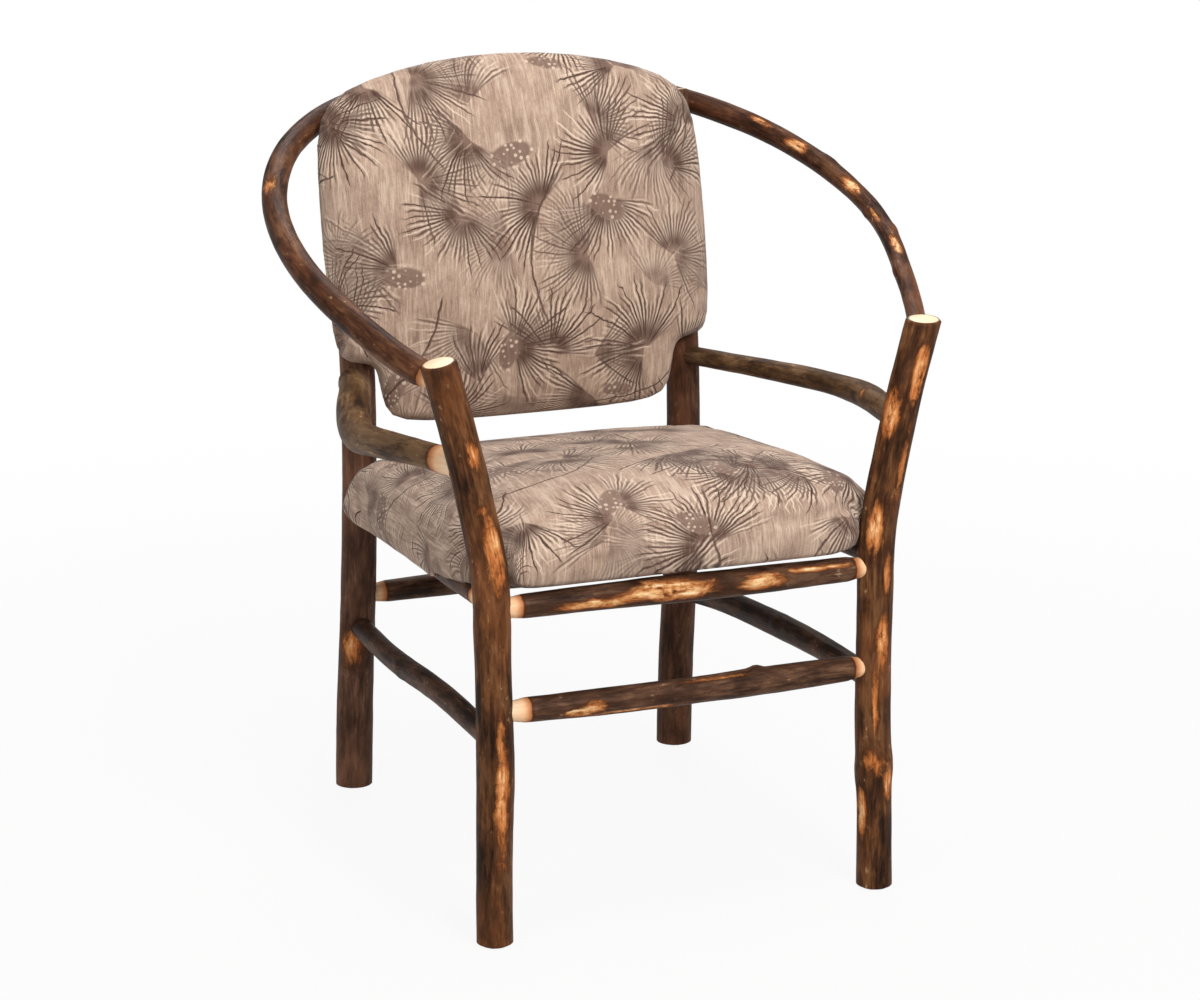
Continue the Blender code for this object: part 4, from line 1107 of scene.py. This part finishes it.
# Seat and back
SEAT_LOW, SEAT_HIGH = (np.array(c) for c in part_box("seat_cover"))
SEAT_TOP_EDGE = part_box("seat_board")[1].z - 0.012
SEAT_UP = np.array((0.0, 1.0, 0.0))
SEAT_CROWN = 0.02
SEAT_SWELL = (0.6, 0.8, 0.6)
HEM_FALL = 0.0165
HEM_SIDE_DROP = 0.019
WALL_OUT = 0.0062
RAIL_AHEAD = 0.150
RAIL_BEHIND = 0.030
BACK_TILT = math.radians(6.6)
BACK_UP = np.array((0.0, math.sin(BACK_TILT), math.cos(BACK_TILT)))
BACK_OUT = np.array((0.0, -math.cos(BACK_TILT), math.sin(BACK_TILT)))
BACK_CROWN = 0.030
BACK_SWELL = (0.3, 1.0, 0.3)
BACK_SHIFT = (0.4, 0.9)


def seat_hem(points):
    """Height of the cover's lower edge, higher at the front and along the middle than over the side rails."""
    slope = (points[:, 1] - SEAT_LOW[1]) / (SEAT_HIGH[1] - SEAT_LOW[1])
    sides = smoothstep(0.185, 0.215, np.abs(points[:, 0])) * smoothstep(0.12, 0.32, slope)
    return SEAT_TOP_EDGE - HEM_FALL * slope - HEM_SIDE_DROP * sides


def seat_pins(points):
    hem = seat_hem(points)
    return 1.0 - smoothstep(hem + 0.004, hem + 0.028, points[:, 2])


def back_pins(points):
    depth = points @ BACK_OUT
    return 1.0 - smoothstep(depth.min() + 0.004, depth.min() + 0.024, depth)


def boxed(obj):
    """Brings the lower part of the seat's sides and back out to an upright wall."""
    points = coords(obj.data)
    flat = normals_of(obj.data) * LEVEL_ONLY
    size = np.linalg.norm(flat, axis=1)[:, None]
    flat = flat / np.maximum(size, 1e-6) * smoothstep(0.25, 0.6, size)
    hem, z = seat_hem(points), points[:, 2]
    wall = smoothstep(hem - 0.004, hem + 0.006, z) * (1.0 - smoothstep(hem + 0.014, hem + 0.046, z))
    wall *= smoothstep(-0.25, 0.15, np.maximum(flat[:, 1], np.abs(flat[:, 0]) - 0.55))
    put_coords(obj.data, points + flat * (WALL_OUT * wall)[:, None])


PRINTED = printed_cloth()
rail_runs = []
for node in ("left_seat_rail", "right_seat_rail"):
    spots = RUNG_LINES[node][0]
    rail_runs.append([spots[np.argmin(np.abs(spots[:, 1] - place))]
                      for place in (SEAT_LOW[1] + RAIL_AHEAD, SEAT_HIGH[1] - RAIL_BEHIND)])
seat = padded_form("seat.cushion", ["seat_cover", "seat_foam", "seat_board"], seat_pins, SEAT_SWELL, rail_runs)
boxed(seat)
points = coords(seat.data)
normals = evened(seat.data, normals_of(seat.data), 24, (0.5,))
fold = np.maximum(0.0, SEAT_HIGH[2] - SEAT_CROWN - points[:, 2])
put_attribute(seat.data, "cloth", unrolled(points, normals, SEAT_UP, fold))
folded(seat, SEAT_FOLDS)

back = padded_form("back.cushion", ["back_cover", "back_foam", "back_board"], back_pins, BACK_SWELL)
points = coords(back.data)
depth = points @ BACK_OUT
fold = np.maximum(0.0, depth.max() - BACK_CROWN - depth)
put_attribute(back.data, "cloth", unrolled(points, normals_of(back.data), BACK_UP, fold, BACK_SHIFT))
folded(back, BACK_FOLDS)

# Boards, kept as packed and painted as plywood
PLY_PAIR = 0.0048
PLY_DARK, PLY_LIGHT = linears((150, 104, 62), (214, 176, 124))
PLY_FACE = linears((168, 124, 78), (204, 164, 112), (226, 192, 144))
DOWN = np.array((0.0, 0.0, -1.0))
REARWARD = np.array((0.0, 1.0, 0.0))


def plywood(name, across):
    """Plywood: long grain on the faces, plies on the edges; across is the board's thickness direction."""
    n = Nodes(name)
    place = n.new("NewGeometry").outputs
    spot = place["Position"]
    depth = n.vec("DOT_PRODUCT", spot, across)
    flat = n.size(n.vec("DOT_PRODUCT", place["True Normal"], across))
    grain = n.noise(spot, (9.0, 160.0, 160.0), 5.0, 0.6, 0.5)
    broad = n.noise(spot, (2.0, 22.0, 22.0), 3.0, warp=0.8)
    tone = n.mad(broad, 0.5, n.mul(grain, 0.5))
    face = n.ramp(tone, (0.34, 0.50, 0.66), PLY_FACE)
    plies = n.math("SINE", n.mul(depth, math.tau / PLY_PAIR))
    edge = n.mix(n.step(plies, -0.35, 0.35), PLY_DARK, PLY_LIGHT)
    colour = n.mix(n.step(flat, 0.5, 0.7), edge, face)
    return n.finish(colour, n.mad(grain, 0.2, 0.55), n.bump(tone, 0.3, 0.0005))


def thickness_way(node, outward):
    """Thickness direction of a flat part, on its outward side."""
    points = coords(NODES[node].data)
    across = np.linalg.svd(points - points.mean(0), full_matrices=False)[2][2]
    return across if across @ outward > 0.0 else -across


for node, outward in (("seat_board", DOWN), ("back_board", REARWARD)):
    board = NODES[node]
    board.data.materials.clear()
    board.data.materials.append(plywood(node + "_plywood", tuple(thickness_way(node, outward))))

# Sheets: the dust cover under the seat and the cloth on the outside of the back
RIM_POINTS = 288
HEM_RINGS = 16
SHEET_RINGS = 40
SHEET_THICK = 0.0008
SHEET_SHARP = 50.0
HEM_SHARE = 0.045
HEM_RISE = 0.0007
STITCH_DEPTH = 0.0005
PUCKER = 0.0006
DUST_TONES = linears((18, 18, 20), (32, 32, 34), (52, 52, 54))


def rim_of(node, across):
    """Longest edge loop of the face of a flat part that looks across, in order."""
    work = welded(node)
    facing = Vector(across)
    links = {}
    for edge in work.edges:
        sides = [face.normal.dot(facing) > 0.7 for face in edge.link_faces]
        if len(sides) == 2 and sides[0] != sides[1]:
            a, b = edge.verts
            links.setdefault(a.index, []).append(b.index)
            links.setdefault(b.index, []).append(a.index)
    work.verts.ensure_lookup_table()
    loops = []
    unseen = set(links)
    while unseen:
        loop = []
        ahead = [min(unseen)]
        while ahead:
            loop.append(ahead[0])
            unseen.discard(ahead[0])
            ahead = [k for k in links[loop[-1]] if k in unseen]
        loops.append(np.array([work.verts[k].co for k in loop]))
    work.free()
    return max(loops, key=lambda run: np.linalg.norm(run - np.roll(run, 1, 0), axis=1).sum())


def sheet_piece(name, node, outward, lift, belly, paint):
    """Hemmed sheet of cloth stapled over a flat part's face, with a slight belly and puckers at the hem."""
    across = thickness_way(node, outward)
    rim = rim_of(node, across)
    rim = np.vstack((rim, rim[:1]))
    marks = run_marks(rim)
    run = resampled(np.linspace(0.0, marks[-1], RIM_POINTS, endpoint=False), marks, rim)
    for turn in range(3):
        run = (np.roll(run, 1, 0) + 2.0 * run + np.roll(run, -1, 0)) / 4.0
    centre = run.mean(0)
    side = unit(np.cross(across, (1.0, 0.0, 0.0)))
    other = np.cross(side, across)
    inside = 1.0 - 2.0 * HEM_SHARE
    shares = np.concatenate((np.linspace(1.0, inside, HEM_RINGS), np.linspace(inside, 0.02, SHEET_RINGS)[1:]))
    verts = []
    for share in shares:
        row = centre + (run - centre) * share
        pucker = PUCKER * noise3(row * 55.0, 5) * smoothstep(0.55, 0.95, share)
        hem = HEM_RISE * (1.0 - smoothstep(HEM_SHARE * 0.75, HEM_SHARE, 1.0 - share))
        stitch = STITCH_DEPTH * math.exp(-((1.0 - share - HEM_SHARE * 0.70) / 0.004) ** 2)
        rise = lift + belly * (1.0 - share ** 2) + hem - stitch + pucker
        verts.append(row + across * rise[:, None])
    top = np.concatenate(verts + [[centre + across * (lift + belly)]])
    both = np.concatenate((top, top - across * SHEET_THICK))
    total = len(top)
    faces = faces_of(len(shares), RIM_POINTS)
    last = total - 1 - RIM_POINTS
    faces += [(last + j, last + (j + 1) % RIM_POINTS, total - 1) for j in range(RIM_POINTS)]
    under = [tuple(total + k for k in reversed(face)) for face in faces]
    wall = [(j, total + j, total + (j + 1) % RIM_POINTS, (j + 1) % RIM_POINTS) for j in range(RIM_POINTS)]
    mesh = bpy.data.meshes.new(name)
    mesh.from_pydata(both.tolist(), [], faces + under + wall)
    turn_out(mesh)
    smooth_shaded(mesh, SHEET_SHARP, paint)
    put_attribute(mesh, "cloth", np.stack((both @ other, both @ side, 0.0 * both[:, 0]), 1))
    obj = placed(mesh, node)


def dust_material():
    """Black spun cloth: matted fibres pressed with small dots."""
    n = Nodes("dust_cloth")
    place = n.attr("cloth", "Vector")
    fibres = n.noise(place, (700.0, 260.0, 1.0), 5.0, 0.7, 1.5)
    cloud = n.noise(place, 40.0, 3.0)
    pressed = n.fall(n.dots(place, 420.0, 0.15), 0.20, 0.34)
    tone = n.mad(cloud, 0.3, n.mul(fibres, 0.7))
    height = n.mad(pressed, -0.8, fibres)
    return n.finish(n.ramp(tone, (0.32, 0.52, 0.70), DUST_TONES), n.mad(pressed, -0.2, 0.9),
                    n.bump(height, 0.5, 0.0006), Specular_IOR_Level=0.25)


sheet_piece("seat_dust_cover.cloth", "seat_dust_cover", DOWN, 0.0016, 0.0030, dust_material())
sheet_piece("back_outside_panel.cloth", "back_outside_panel", REARWARD, 0.0002, 0.0012, PRINTED)

# Screws with a cross recess and a rolled thread
SCREW_AROUND = 40
SCREW_SHARP = 40.0
SCREW_SKEW = (0.30, 0.90, 0.31)
RECESS_DEPTH = 0.0016
RECESS_HALF = 0.00065
RECESS_REACH = 0.0029
NECK = 0.0036
POINT = 0.0042
THREAD_PITCH = 0.0018
THREAD_RISE = 0.00035
ZINC_TONES = linears((150, 148, 140), (190, 188, 180), (214, 212, 206))


def zinc():
    """Bright zinc with fine turning marks and dull spots."""
    n = Nodes("zinc_screw")
    place = n.new("NewGeometry").outputs["Position"]
    dull = n.noise(place, 900.0, 4.0)
    marks = n.noise(place, 4200.0, 2.0)
    return n.finish(n.ramp(dull, (0.34, 0.52, 0.70), ZINC_TONES), n.mad(dull, 0.30, 0.18),
                    n.bump(marks, 0.25, 0.0002), Metallic=1.0)


def screw_piece(node, paint):
    """Screw on the axis of its part: a head with a recess, a threaded shank and a point."""
    points = coords(NODES[node].data)
    middle = points.mean(0)
    axis = np.linalg.svd(points - middle, full_matrices=False)[2][0]
    along = (points - middle) @ axis
    wide = np.linalg.norm(points - middle - along[:, None] * axis, axis=1)
    if along[np.argmax(wide)] > 0.0:
        axis, along = -axis, -along
    head = wide.max()
    length = along.max() - along.min()
    shank = np.median(wide[(wide > 0.0005) & (wide < head * 0.8)])
    top = middle + axis * along.min()
    side = unit(np.cross(axis, SCREW_SKEW))
    other = np.cross(axis, side)
    turn = np.linspace(0.0, math.tau, SCREW_AROUND, endpoint=False)
    cos, sin = np.cos(turn), np.sin(turn)
    rows = []
    for r in np.linspace(0.06, 0.94, 14) * head:
        x, y = np.abs(r * cos), np.abs(r * sin)
        slot = 1.0 - smoothstep(RECESS_HALF * 0.8, RECESS_HALF * 1.3, np.minimum(x, y))
        inside = 1.0 - smoothstep(RECESS_REACH * 0.8, RECESS_REACH, np.maximum(x, y))
        rows.append((r, RECESS_DEPTH * slot * inside))
    rows += [(head, 0.00025), (head * 0.97, 0.0007), (shank, NECK)]
    for depth in np.arange(NECK + 0.0003, length - POINT, THREAD_PITCH / 5.0):
        wave = (depth / THREAD_PITCH + turn / math.tau) % 1.0
        rows.append((shank - THREAD_RISE * 0.6 + THREAD_RISE * np.abs(2.0 * wave - 1.0) * 1.2, depth))
    rows.append((shank * 0.12, length - 0.0002))
    spread = cos[:, None] * side + sin[:, None] * other
    full = np.ones((SCREW_AROUND, 1))
    verts = [top + axis * (full * np.reshape(depth, (-1, 1))) + np.reshape(radius, (-1, 1)) * spread
             for radius, depth in rows]
    verts = np.concatenate(verts + [[top + axis * RECESS_DEPTH], [top + axis * length]])
    hub = len(rows) * SCREW_AROUND
    faces = faces_of(len(rows), SCREW_AROUND)
    faces += cap_of(hub, 0, SCREW_AROUND, -1) + cap_of(hub + 1, hub - SCREW_AROUND, SCREW_AROUND, 1)
    mesh = bpy.data.meshes.new(node + ".screw")
    mesh.from_pydata(verts.tolist(), [], faces)
    turn_out(mesh)
    smooth_shaded(mesh, SCREW_SHARP, paint)
    placed(mesh, node)


ZINC = zinc()
for node in sorted(NODES):
    if "_screw_" in node:
        screw_piece(node, ZINC)

scene.view_settings.view_transform = "Standard"
